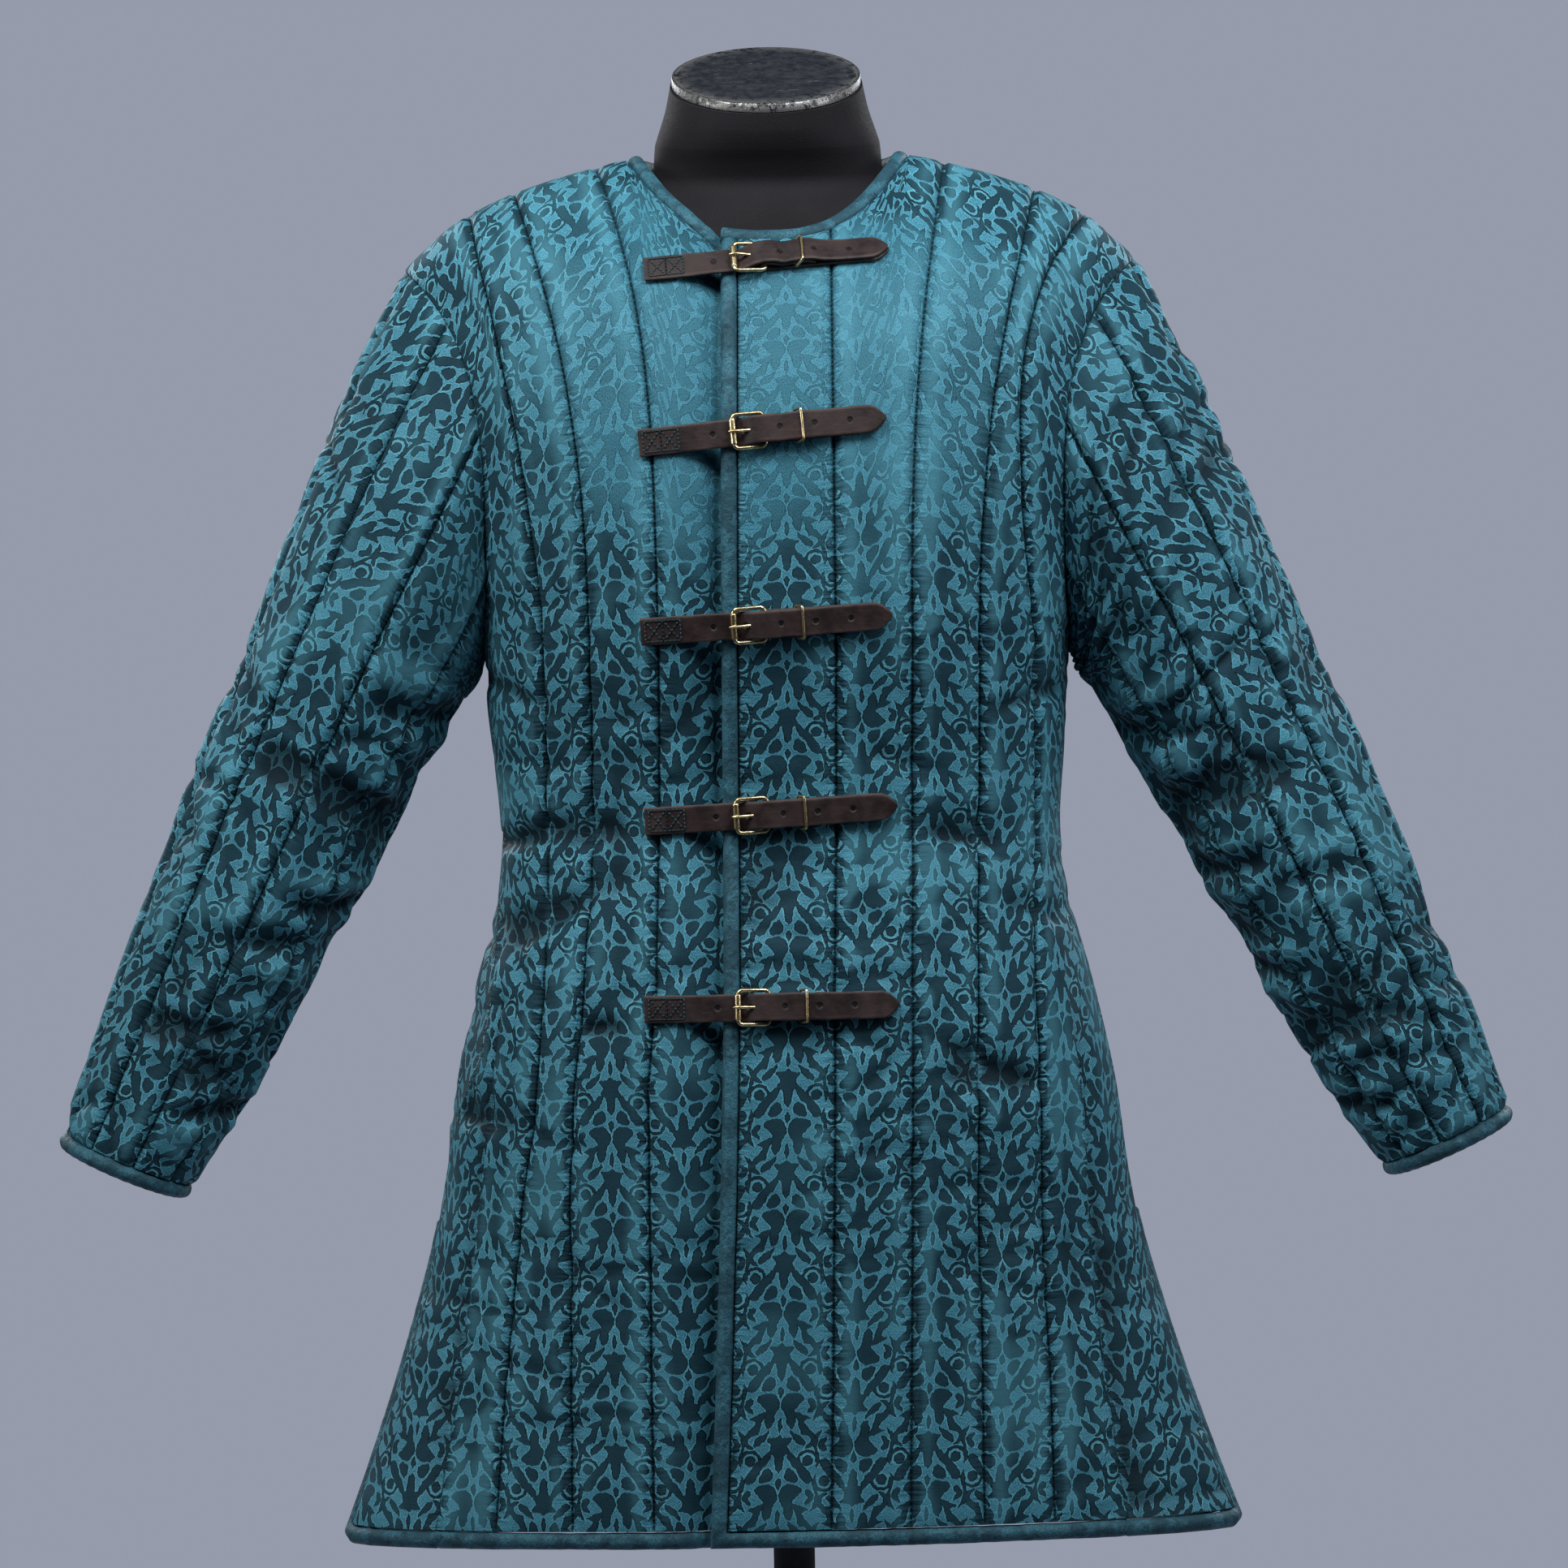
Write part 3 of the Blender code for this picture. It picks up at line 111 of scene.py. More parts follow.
LEFT_FRONT_LINES = lines(
    ("edge", -0.0435, -0.038, -0.033, -0.030, -0.028, -0.0265, -0.025, -0.0205, 1.0, 0.3),
    ("first", 0.0245, 0.028, 0.031, 0.033, 0.034, 0.037, 0.039, 0.041, 1.0, 1),
    ("neck", 0.061, 0.064, 0.067, 0.069, 0.070, 0.072, 0.0745, NECK_POINT, 2.3, 0),
    ("second", 0.077, 0.080, 0.083, 0.085, 0.086, 0.088, 0.090, 0.119, 2.3, 1),
    ("third", 0.126, 0.127, 0.128, 0.129, 0.130, 0.133, 0.1355, 0.180, 2.0, 1),
    ("fourth", 0.173, 0.172, 0.171, 0.1705, 0.170, 0.1715, 0.174, 0.214, 0, 1),
    ("fifth", 0.224, 0.2105, 0.2035, 0.199, 0.190, 0.182, 0.188, 0.232, 0, 1),
)
RIGHT_FRONT_LINES = lines(
    ("edge", -0.014, -0.014, -0.014, -0.014, -0.014, -0.014, -0.014, -0.014, 1.0, 0.3),
    ("under", 0.058, 0.053, 0.048, 0.045, 0.043, 0.041, 0.039, 0.035, 1.0, 0),
    ("rise", 0.067, 0.062, 0.057, 0.054, 0.052, 0.050, 0.048, 0.045, 1.0, 0),
    ("level", 0.076, 0.073, 0.070, 0.068, 0.065, 0.062, 0.060, 0.060, 1.5, 0),
    ("neck", 0.086, 0.085, 0.083, 0.082, 0.077, 0.074, 0.072, NECK_POINT, 3.0, 0),
    ("first", 0.092, 0.092, 0.0915, 0.091, 0.0845, 0.081, 0.0785, 0.116, 3.5, 1),
    ("second", 0.146, 0.146, 0.145, 0.141, 0.133, 0.126, 0.125, 0.172, 2.5, 1),
    ("third", 0.198, 0.1895, 0.1775, 0.166, 0.161, 0.157, 0.157, 0.203, 1.6, 1),
    ("fourth", 0.240, 0.222, 0.208, 0.198, 0.188, 0.178, 0.182, 0.230, 0, 1),
)
BACK_LINES = lines(
    ("centre", 0.0, 0.0, 0.0, 0.0, 0.0, 0.0, 0.0, 0.0, 1.0, 1),
    ("first", 0.050, 0.050, 0.050, 0.050, 0.050, 0.050, 0.051, 0.056, 2.0, 1),
    ("neck", 0.074, 0.074, 0.074, 0.073, 0.073, 0.072, 0.074, NECK_POINT, 2.3, 0),
    ("second", 0.102, 0.101, 0.100, 0.099, 0.098, 0.096, 0.098, 0.122, 2.2, 1),
    ("third", 0.152, 0.150, 0.148, 0.146, 0.144, 0.138, 0.140, 0.180, 2.0, 1),
    ("fourth", 0.202, 0.194, 0.187, 0.182, 0.177, 0.170, 0.173, 0.212, 0, 1),
    ("fifth", 0.250, 0.226, 0.211, 0.202, 0.192, 0.182, 0.188, 0.232, 0, 1),
)
FIFTH_FADES = (0.300, 0.400)  # the outermost line of each panel runs out between these heights
SOFT_ENDS = 0.15  # share of a fold's length over which it runs out at either end

# Largest folds, as troughs from one point to another in the front view
FRONT_FOLDS = table(
    "x0 h0 x1 h1 depth reach",
    (-0.176, 0.468, -0.104, 0.472, 0.0050, 0.012),
    (-0.098, 0.446, -0.182, 0.404, 0.0045, 0.014),
    (-0.216, 0.292, -0.168, 0.272, 0.0040, 0.013),
    (0.088, 0.474, 0.150, 0.466, 0.0050, 0.012),
    (0.110, 0.320, 0.166, 0.298, 0.0045, 0.013),
    (-0.135, 0.338, -0.108, 0.343, 0.0030, 0.012),
)
BACK_FOLDS = table(
    "x0 h0 x1 h1 depth reach",
    (-0.150, 0.482, -0.030, 0.462, 0.0050, 0.013),
    (0.020, 0.500, 0.140, 0.470, 0.0050, 0.013),
    (-0.060, 0.420, 0.070, 0.428, 0.0045, 0.014),
    (0.100, 0.330, 0.180, 0.300, 0.0040, 0.013),
    (-0.170, 0.345, -0.110, 0.318, 0.0040, 0.013),
)

# The sleeve's outer and inner outline seen from the front, from the end of the armhole's spread to the cuff
SLEEVE = table(
    "along outer_x outer_h inner_x inner_h half_depth centre_y",
    (0.0, 0.3250, 0.6780, 0.2130, 0.5600, 0.0780, -0.006),
    (0.2, 0.3587, 0.5980, 0.2477, 0.4970, 0.0720, -0.007),
    (0.4, 0.3954, 0.5160, 0.2821, 0.4310, 0.0665, -0.009),
    (0.6, 0.4267, 0.4340, 0.3212, 0.3640, 0.0610, -0.011),
    (0.8, 0.4586, 0.3525, 0.3594, 0.2970, 0.0555, -0.013),
    (1.0, 0.4880, 0.2725, 0.4015, 0.2335, 0.0475, -0.015),
)
SLEEVE_LINES = (0, 41, 81, 121, 161)  # quilting lines in degrees from the underarm, in front and behind
FOLD_ENDS = (0.6, 1.2)  # a fold round a sleeve fades out between these shares of its half length
# Largest folds of a sleeve: place along it, middle and half length round it in degrees, depth and reach along
LEFT_SLEEVE_FOLDS = table(
    "at middle half_turn depth reach",
    (0.50, 52, 50, 0.0060, 0.022),
    (0.66, 20, 40, 0.0045, 0.020),
    (0.80, 55, 45, 0.0045, 0.020),
    (0.56, 300, 45, 0.0055, 0.022),
    (0.74, 270, 40, 0.0040, 0.020),
)
RIGHT_SLEEVE_FOLDS = table(
    "at middle half_turn depth reach",
    (0.50, 70, 50, 0.0060, 0.022),
    (0.64, 15, 45, 0.0045, 0.020),
    (0.84, 75, 50, 0.0050, 0.020),
    (0.56, 290, 45, 0.0055, 0.022),
    (0.76, 255, 40, 0.0040, 0.020),
)
SLEEVE_LENGTH = 0.47  # along its middle, which turns a fold's reach into a share of the sleeve

# Bound edges
ROLL_WIDE = 0.0057  # half the width of a binding's roll, along the cloth
ROLL_THICK = 0.0061  # and half its thickness
ROLL_GAP = 0.0003  # from the cloth's cut edge to the roll

# Buckled straps: roller x, height there, slope, left end and tip measured from the roller
STRAPS = table(
    "roller_x height slope start tip",
    (-0.0235, 0.8440, 0.066, -0.0592, 0.1015),
    (-0.0257, 0.7310, 0.086, -0.0617, 0.0990),
    (-0.0275, 0.6055, 0.050, -0.0608, 0.1025),
    (-0.0284, 0.4800, 0.047, -0.0601, 0.1047),
    (-0.0297, 0.3540, 0.004, -0.0611, 0.1046),
)
STRAP_HALF = 0.0090
STRAP_LIFT = 0.0005  # the straps' leather and metal sit this much further off the crest
TONGUE_THICK = 0.0026
TONGUE_START_OUT = 0.0016  # middle of the leather above the crest at its sewn end
BACKING_THICK = 0.0020
BACKING_OUT = 0.0013
BACKING_PAST = 0.0010  # the leather behind shows this far past the tongue's tip
BACKING_FLAT = (0.0160, 5)  # behind its point it lies flat from here to the bar, in this many stations
BAR_AT = 0.0205  # the buckle's inner bar, from its roller
BAR_OUT = 0.0040
LOOP_R = 0.0027  # bend of the leather round the bar
ROLLER_OUT = 0.0067
BAR_R = 0.0014
ROLLER_R = 0.0022
ROLLER_HALF = 0.0085
PRONG_R = 0.0011
PRONG_END = -0.0028
PRONG_OUT = 0.0103
FRAME_HALF = 0.0112
KEEPER_AT = 0.0450
KEEPER_R = 0.0009
KEEPER_HALF = 0.0107
KEEPER_OUT = (0.0035, 0.0108)
POINT = table("back half", (0.0100, 1.00), (0.0060, 0.80), (0.0028, 0.48), (0.0, 0.12))
# Middle of the tongue's leather above the front's crest, by distance from the roller
TONGUE_RUN = table(
    "at out",
    (-0.046, 0.0017),
    (-0.032, 0.0019),
    (-0.022, 0.0022),
    (-0.012, 0.0026),
    (-0.005, 0.0027),
    (0.003, 0.0027),
    (0.009, 0.0056),
    (0.014, 0.0082),
    (0.0205, 0.0094),
    (0.026, 0.0089),
    (0.032, 0.0070),
    (0.040, 0.0077),
    (0.045, 0.0083),
    (0.051, 0.0079),
    (0.058, 0.0059),
    (0.068, 0.0045),
    (0.082, 0.0042),
)
# The leather behind, from its pointed end to the buckle, round the bar and back over the keeper
BACKING_TOP = table(
    "at out",
    (0.026, 0.0060),
    (0.032, 0.0044),
    (0.038, 0.0049),
    (0.045, 0.0057),
    (0.050, 0.0050),
    (0.0535, 0.0040),
)

# Dress form and its stand
FORM = table(
    "height half_width front back tilt",
    (0.130, 0.1240, 0.0850, 0.0880, 0.0),
    (0.142, 0.1380, 0.0960, 0.0980, 0.0),
    (0.220, 0.1500, 0.1040, 0.1000, 0.0),
    (0.300, 0.1500, 0.1030, 0.0960, 0.0),
    (0.400, 0.1430, 0.0950, 0.0880, 0.0),
    (0.467, 0.1390, 0.0920, 0.0850, 0.0),
    (0.560, 0.1520, 0.1040, 0.0930, 0.0),
    (0.640, 0.1660, 0.1160, 0.1000, 0.0),
    (0.700, 0.1750, 0.1180, 0.1040, 0.0),
    (0.769, 0.1820, 0.1080, 0.1010, 0.0),
    (0.820, 0.1820, 0.0860, 0.0920, 0.0),
    (0.848, 0.1720, 0.0680, 0.0830, 0.0),
    (0.863, 0.1500, 0.0590, 0.0720, 0.0),
    (0.875, 0.1270, 0.0540, 0.0670, 0.0),
    (0.885, 0.1080, 0.0500, 0.0610, 0.0),
    (0.896, 0.0888, 0.0432, 0.0545, 0.05),
    (0.905, 0.0800, 0.0418, 0.0500, 0.10),
    (0.913, 0.0775, 0.0450, 0.0485, 0.16),
    (0.921, 0.0768, 0.0485, 0.0495, 0.24),
    (0.930, 0.0760, 0.0530, 0.0525, 0.36),
    (0.938, 0.0735, 0.0555, 0.0545, 0.50),
    (0.9515, 0.0690, 0.0585, 0.0575, 0.75),
    (0.9700, 0.0650, 0.0600, 0.0590, 1.00),
)
CAP_TILT = math.radians(22)
CAP_R = 0.0640
CAP_THICK = 0.0060
CAP_HEIGHT = 0.9768  # middle of its top
POLE_R = 0.0140
BASE_R = 0.160
BASE_THICK = 0.020
FORM_POWER = 2.1


# ---------------------------------------------------------------- shapes worked out from the tables
def read(rows, column, at):
    """A column read smoothly: a cubic through its rows, each row's slope taken from its neighbours."""
    xs, ys = rows["height"], rows[column]
    at = np.clip(np.asarray(at, float), xs[0], xs[-1])
    slopes = np.gradient(ys, xs)
    i = np.clip(np.searchsorted(xs, at, side="right") - 1, 0, len(xs) - 2)
    span = xs[i + 1] - xs[i]
    t = (at - xs[i]) / span
    start = (1 + 2 * t) * (1 - t) ** 2 * ys[i] + t * (1 - t) ** 2 * span * slopes[i]
    return start + t * t * (3 - 2 * t) * ys[i + 1] + t * t * (t - 1) * span * slopes[i + 1]


def smooth(low, high, at):
    t = np.clip((np.asarray(at, float) - low) / (high - low), 0, 1)
    return t * t * (3 - 2 * t)


def unit(vectors):
    length = np.linalg.norm(vectors, axis=-1, keepdims=True)
    return vectors / np.maximum(length, 1e-12)


def slit_gap(h):
    """How far the slit's edge stands from the side line at this height."""
    return SLIT_SPREAD * np.clip((SLIT_TOP - np.asarray(h, float)) / SLIT_TOP, 0, 1.1) ** 1.2


def depth_at(x, h, front):
    """Distance of the coat's crest surface in front of (or behind) the side line."""
    power = read(OUTLINE, "power", h)
    share = np.clip(np.abs(x) / read(OUTLINE, "half_width", h), 0, 1)
    gap = slit_gap(h)
    return gap + (read(OUTLINE, "front" if front else "back", h) - gap) * (1 - share**power) ** (1 / power)


def coat_level(points):
    """Zero on the crest surface, growing outwards."""
    x, y, h = points[..., 0], points[..., 1], points[..., 2]
    power = read(OUTLINE, "power", h)
    depth = np.where(y <= 0, read(OUTLINE, "front", h), read(OUTLINE, "back", h))
    gap = slit_gap(h)
    away = np.maximum(np.abs(y) - gap, 0) / (depth - gap)
    return (np.abs(x) / read(OUTLINE, "half_width", h)) ** power + away**power


def coat_normal(points):
    """Outward direction of the crest surface."""
    step = 0.0004
    slope = [coat_level(points + step * axis) - coat_level(points - step * axis) for axis in np.eye(3)]
    return unit(np.stack(slope, axis=-1))


def armhole(t):
    """x and height of the armhole, from the underarm (0) to the shoulder (1)."""
    x = ARMHOLE_X + SHOULDER_OUT * t**5 + UNDERARM_OUT * (1 - t) ** 6
    return x, UNDERARM + (SHOULDER - UNDERARM) * t


def top_height(x, front):
    """Height of the shoulder seam, or of the neckline where x lies inside the neck."""
    x = abs(x)
    if x >= NECK_POINT - 1e-6:
        heights = np.linspace(SHOULDER, OUTLINE["height"][-1], SEAM_STEPS)
        widths = read(OUTLINE, "half_width", heights)
        return float(np.interp(-x, -widths, heights))
    neck = FRONT_NECK if front else BACK_NECK
    return float(neck["low"][0] + neck["rise"][0] * (x / NECK_POINT) ** neck["power"][0])


def from_line(x, h, x0, h0, x1, h1, soft):
    """How far off a line each place lies, and the line's strength there, which runs out past its ends."""
    along = np.array([x1 - x0, h1 - h0])
    size = np.hypot(*along)
    t = ((x - x0) * along[0] + (h - h0) * along[1]) / size**2
    off = np.abs((x - x0) * along[1] - (h - h0) * along[0]) / size
    return off, smooth(-soft, soft, t) * (1 - smooth(1 - soft, 1 + soft, t))


def fold_depth(folds, x, h):
    """Depth of the troughs at a place in the front view."""
    total = np.zeros(np.broadcast(x, h).shape)
    for *line, depth, reach in zip(*folds.values()):
        off, strength = from_line(x, h, *line, SOFT_ENDS)
        total = total + depth * strength * np.exp(-((off / reach) ** 2))
    return total


def side_turn(sign, h):
    """The wearer's right side seam lies a little forward of the side line above the slit, in radians."""
    if sign > 0:
        return np.zeros_like(h)
    return math.radians(24) * smooth(0.225, 0.330, h) * (1 - smooth(0.350, 0.480, h))


def sleeve_ring(angle, along):
    """Point of the sleeve below the armhole's spread."""
    ring = {
        key: np.interp(along, SLEEVE["along"], SLEEVE[key])
        for key in "outer_x outer_h inner_x inner_h half_depth centre_y".split()
    }
    across = np.cos(angle)
    x = (ring["outer_x"] + ring["inner_x"]) / 2 - across * (ring["outer_x"] - ring["inner_x"]) / 2
    h = (ring["outer_h"] + ring["inner_h"]) / 2 - across * (ring["outer_h"] - ring["inner_h"]) / 2
    return np.stack([x, ring["centre_y"] - ring["half_depth"] * np.sin(angle), h], axis=-1)


def armhole_point(angle):
    """Point of the armhole that the sleeve's line at this angle runs to."""
    turned = angle + ARMHOLE_TURN * np.sin(angle)
    x, h = armhole((1 - np.cos(turned)) / 2)
    in_front = np.sin(angle) >= 0
    y = np.where(in_front, -depth_at(x, h, True), depth_at(x, h, False))
    return np.stack([x, y, h], axis=-1)


def sleeve_point(angle, place):
    """Crest surface of the wearer's left sleeve: angle round it from the underarm, place 0 to 1 down it."""
    ring = sleeve_ring(angle, np.clip((place - SPREAD) / (1 - SPREAD), 0, 1))
    share = np.clip(place / SPREAD, 0, 1)[..., None]
    hole = armhole_point(angle)
    middle = (sleeve_ring(angle, 0 * place) + sleeve_ring(angle + math.pi, 0 * place)) / 2
    puff = HEAD_PUFF * 4 * share * (1 - share) * unit(sleeve_ring(angle, 0 * place) - middle)
    return np.where(share < 1, hole + (ring - hole) * share + puff, ring)


def sleeve_normal(angle, place):
    """Outward direction of the sleeve's crest surface."""
    turn, run = 0.01, 0.004
    place = np.clip(place, run, 1 - run)
    round_it = sleeve_point(angle + turn, place) - sleeve_point(angle - turn, place)
    down_it = sleeve_point(angle, place + run) - sleeve_point(angle, place - run)
    return unit(np.cross(down_it, round_it))


def armhole_frame(angle):
    """Points of the armhole, the way into the wall there and the way across the seam to the sleeve."""
    hole = armhole_point(angle)
    into = -unit(coat_normal(hole) + sleeve_normal(angle, np.full_like(angle, 0.03)))
    along = armhole_point(angle + 0.01) - armhole_point(angle - 0.01)
    over = unit(np.cross(along, into))
    toward = sleeve_ring(angle, 0 * angle) - hole
    over *= np.sign((over * toward).sum(axis=-1, keepdims=True))
    return hole, into, over


def zip_rows(a, a_at, b, b_at):
    """Triangles between two rows of points of different counts, matched by their places along the row."""
    faces, i, j = [], 0, 0
    while i < len(a) - 1 or j < len(b) - 1:
        if j == len(b) - 1 or (i < len(a) - 1 and a_at[i + 1] <= b_at[j + 1]):
            faces.append((a[i], a[i + 1], b[j]))
            i += 1
        else:
            faces.append((a[i], b[j + 1], b[j]))
            j += 1
    return faces


def grid_faces(ids):
    return [
        (int(ids[r, c]), int(ids[r, c + 1]), int(ids[r + 1, c + 1]), int(ids[r + 1, c]))
        for r in range(ids.shape[0] - 1)
        for c in range(ids.shape[1] - 1)
    ]


def tangents(path, closed=False):
    if closed:
        return unit(np.roll(path, -1, axis=0) - np.roll(path, 1, axis=0))
    return unit(np.gradient(path, axis=0))


def edge(piece, rows, columns, toward):
    """Middle of a bound edge, the way past it and the way out, for one straight run of the grid."""
    path, out = piece["middle"][rows, columns], piece["facing"][rows, columns]
    across = np.cross(tangents(path), out)
    return path, unit(across * np.sign((across * toward).sum(axis=-1, keepdims=True))), out


def round_corners(*runs):
    """Edges that meet end to end, as one run with a mitred station at each corner."""
    path, across, out = (list(part) for part in runs[0])
    for next_path, next_across, next_out in runs[1:]:
        first, second = across[-1], next_across[0]
        across[-1] = (first + second) / (1 + first @ second)
        out[-1] = unit(out[-1] + next_out[0])
        path += list(next_path[1:])
        across += list(next_across[1:])
        out += list(next_out[1:])
    return np.array(path), np.array(across), np.array(out)


def strap_frame(strap, at):
    """Crest points, the way out and the way across at distances from a strap's roller."""
    at = np.asarray(at, float)
    x, h = strap["roller_x"] + at, strap["height"] + strap["slope"] * at
    points = np.stack([x, -depth_at(x, h, True), h], axis=-1)
    out = coat_normal(points)
    ahead = np.stack([np.ones_like(at), 0 * at, strap["slope"] + 0 * at], axis=-1)
    across = unit(np.cross(ahead, out))
    return points, out, across


def strap_points(strap, at, out):
    """Points above the crest, and the way across there."""
    points, normal, across = strap_frame(strap, at)
    return points + normal * (np.asarray(out, float)[..., None] + STRAP_LIFT), across


def tongue_stations(strap):
    run = TONGUE_RUN["at"], TONGUE_RUN["out"]
    back, half = POINT["back"], POINT["half"]
    at = np.concatenate([[strap["start"]], run[0], strap["tip"] - back])
    out = np.concatenate([[TONGUE_START_OUT], run[1], np.full(len(back), run[1][-1])])
    return at, out, np.concatenate([np.full(len(at) - len(back), STRAP_HALF), STRAP_HALF * half])


def backing_stations(strap):
    back, half = POINT["back"], POINT["half"]
    flat = np.linspace(strap["tip"] - BACKING_FLAT[0], BAR_AT, BACKING_FLAT[1])
    turn = np.radians([225, 180, 135])
    point = strap["tip"] + BACKING_PAST - back[::-1]
    at = np.concatenate([point, flat, BAR_AT + LOOP_R * np.cos(turn), [BAR_AT], BACKING_TOP["at"]])
    flat_out = np.full(len(back) + len(flat), BACKING_OUT)
    out = [flat_out, BAR_OUT + LOOP_R * np.sin(turn), [BAR_OUT + LOOP_R], BACKING_TOP["out"]]
    whole = np.full(len(at) - len(back), STRAP_HALF)
    return at, np.concatenate(out), np.concatenate([STRAP_HALF * half[::-1], whole])


# ---------------------------------------------------------------- padded walls, drawn finely
ROLL_SPACE = 2 * ROLL_WIDE + 3 * ROLL_GAP
SET_IN = {"edge": 1.0, "under": 1.0, "rise": 0.45}
FINE = (0.0, 0.022, 0.046, 0.076, 0.115, 0.165, 0.23, 0.31, 0.40)  # columns crowd towards the lines
FINE += (0.50, 0.60, 0.69, 0.77, 0.835, 0.885, 0.924, 0.954, 0.978)
COARSE = (0.0, 0.25, 0.5, 0.75)
NARROW = 0.02  # a channel narrower than this takes the coarse columns
WAIST = 3  # which of LINE_HEIGHTS its width is measured at
SIDE_X = 0.215  # the side seam there
FINE_LOW = np.concatenate([np.linspace(0.012, 0.206, 46), np.linspace(0.220, UNDERARM, 84)])
FINE_ANGLES = np.linspace(0, math.pi, 61)
FINE_CLIMB = (1 - np.cos(FINE_ANGLES + ARMHOLE_TURN * np.sin(FINE_ANGLES))) / 2

# Smaller creases of the cloth: troughs in the front view, sharper than the folds
FRONT_CREASES = table(
    "x0 h0 x1 h1 depth reach",
    (-0.193, 0.462, -0.150, 0.474, 0.0022, 0.005),
    (-0.135, 0.424, -0.180, 0.398, 0.0022, 0.006),
    (-0.132, 0.342, -0.112, 0.344, 0.0020, 0.004),
    (-0.216, 0.283, -0.196, 0.272, 0.0025, 0.005),
    (-0.165, 0.270, -0.132, 0.262, 0.0018, 0.005),
    (0.096, 0.466, 0.148, 0.456, 0.0022, 0.005),
    (0.120, 0.318, 0.168, 0.298, 0.0022, 0.005),
    (0.060, 0.520, 0.105, 0.505, 0.0014, 0.006),
    (-0.060, 0.380, -0.115, 0.360, 0.0012, 0.006),
    (0.150, 0.420, 0.188, 0.405, 0.0018, 0.006),
    (0.045, 0.262, 0.110, 0.240, 0.0012, 0.007),
    (-0.190, 0.520, -0.140, 0.512, 0.0016, 0.006),
    (0.140, 0.545, 0.190, 0.560, 0.0020, 0.006),
    (-0.200, 0.575, -0.150, 0.550, 0.0020, 0.006),
)
BACK_CREASES = table(
    "x0 h0 x1 h1 depth reach",
    (-0.160, 0.470, -0.060, 0.450, 0.0022, 0.005),
    (0.030, 0.485, 0.120, 0.462, 0.0022, 0.005),
    (-0.040, 0.408, 0.060, 0.414, 0.0020, 0.006),
    (0.110, 0.318, 0.170, 0.292, 0.0020, 0.005),
    (-0.180, 0.332, -0.120, 0.306, 0.0020, 0.005),
    (-0.120, 0.540, -0.050, 0.530, 0.0016, 0.006),
    (0.080, 0.555, 0.150, 0.540, 0.0016, 0.006),
)


CREASE_DEEP = 2.3  # how much sharper than their charted depth the creases are drawn
WRINKLE_DEEP = 0.0036
LEAST_PADDING = 0.0018  # what a fold leaves of the wall
SLEEVE_WRINKLE = 0.0048
RIDGE_SHARP = 3.2  # how narrow the ridges of the wrinkles are
PATCH_SCALE, PATCH_EDGE = 0.31, (-0.12, 0.35)  # wrinkles come in patches, from the same noise at this scale


def lumps(points, size, seed):
    """Slow unevenness of the padding, between -1 and 1."""
    flat = points.reshape(-1, 3)
    shift = Vector((seed * 7.3, seed * 3.1, seed * 5.7))
    made = [noise.noise(Vector(p) / size + shift) for p in flat]
    return np.array(made).reshape(points.shape[:-1])


def wrinkles(across, along, wide, tall, seed):
    """Short creases that lie mostly across the cloth: ridges of stretched noise, between 0 and 1."""
    points = np.stack([across / wide, along / tall, np.zeros_like(across)], axis=-1)
    fine = lumps(points, 1.0, seed)
    slow = lumps(points * PATCH_SCALE, 1.0, seed + 9)
    return np.clip(1 - np.abs(fine) * RIDGE_SHARP, 0, 1) * smooth(*PATCH_EDGE, slow)


GROOVE_DEEP, GROOVE_WIDE, GROOVE_POWER = 0.0042, 0.0021, 1.1
LIPS_HIGH = (0.0019, 0.0010)  # how high the cloth swells beyond a quilting line, on either side
LIP_AWAY, LIP_WIDE = 0.0095, 0.0065


def groove_at(away):
    """Depth of a quilting line at a signed distance from it; the lip beyond stands higher on one side."""
    dip = GROOVE_DEEP * np.exp(-((np.abs(away) / GROOVE_WIDE) ** GROOVE_POWER))
    lip = np.where(away > 0, *LIPS_HIGH) * np.exp(-(((np.abs(away) - LIP_AWAY) / LIP_WIDE) ** 2))
    return dip - lip


def run_along(points, axis=0):
    """Distance run along rows or columns of points, from the first."""
    steps = np.linalg.norm(np.diff(points, axis=axis), axis=-1)
    return np.concatenate([np.zeros_like(steps.take([0], axis)), np.cumsum(steps, axis=axis)], axis=axis)


EDGE_FALL = 0.004  # how far from an edge the cloth has risen again
EDGE_DIP = 0.0020
HEM_ROW = 0.0045  # distance that one row is taken as at the hem
LARGE_LUMP, SMALL_LUMP = 0.0020, 0.0005


def padding_lumps(points, large, small, seed):
    """How unevenly the wadding lies, as large lumps with small ones on them."""
    return LARGE_LUMP * lumps(points, large, seed) + SMALL_LUMP * lumps(points, small, seed + 4)


def channel_places(rows, k):
    """Places of the columns across a channel, from its line (0) to the next (1); few where it is narrow."""
    after = rows[k + 1]["x"][WAIST] if k + 1 < len(rows) else SIDE_X
    return FINE if abs(rows[k]["x"][WAIST] - after) > NARROW else COARSE


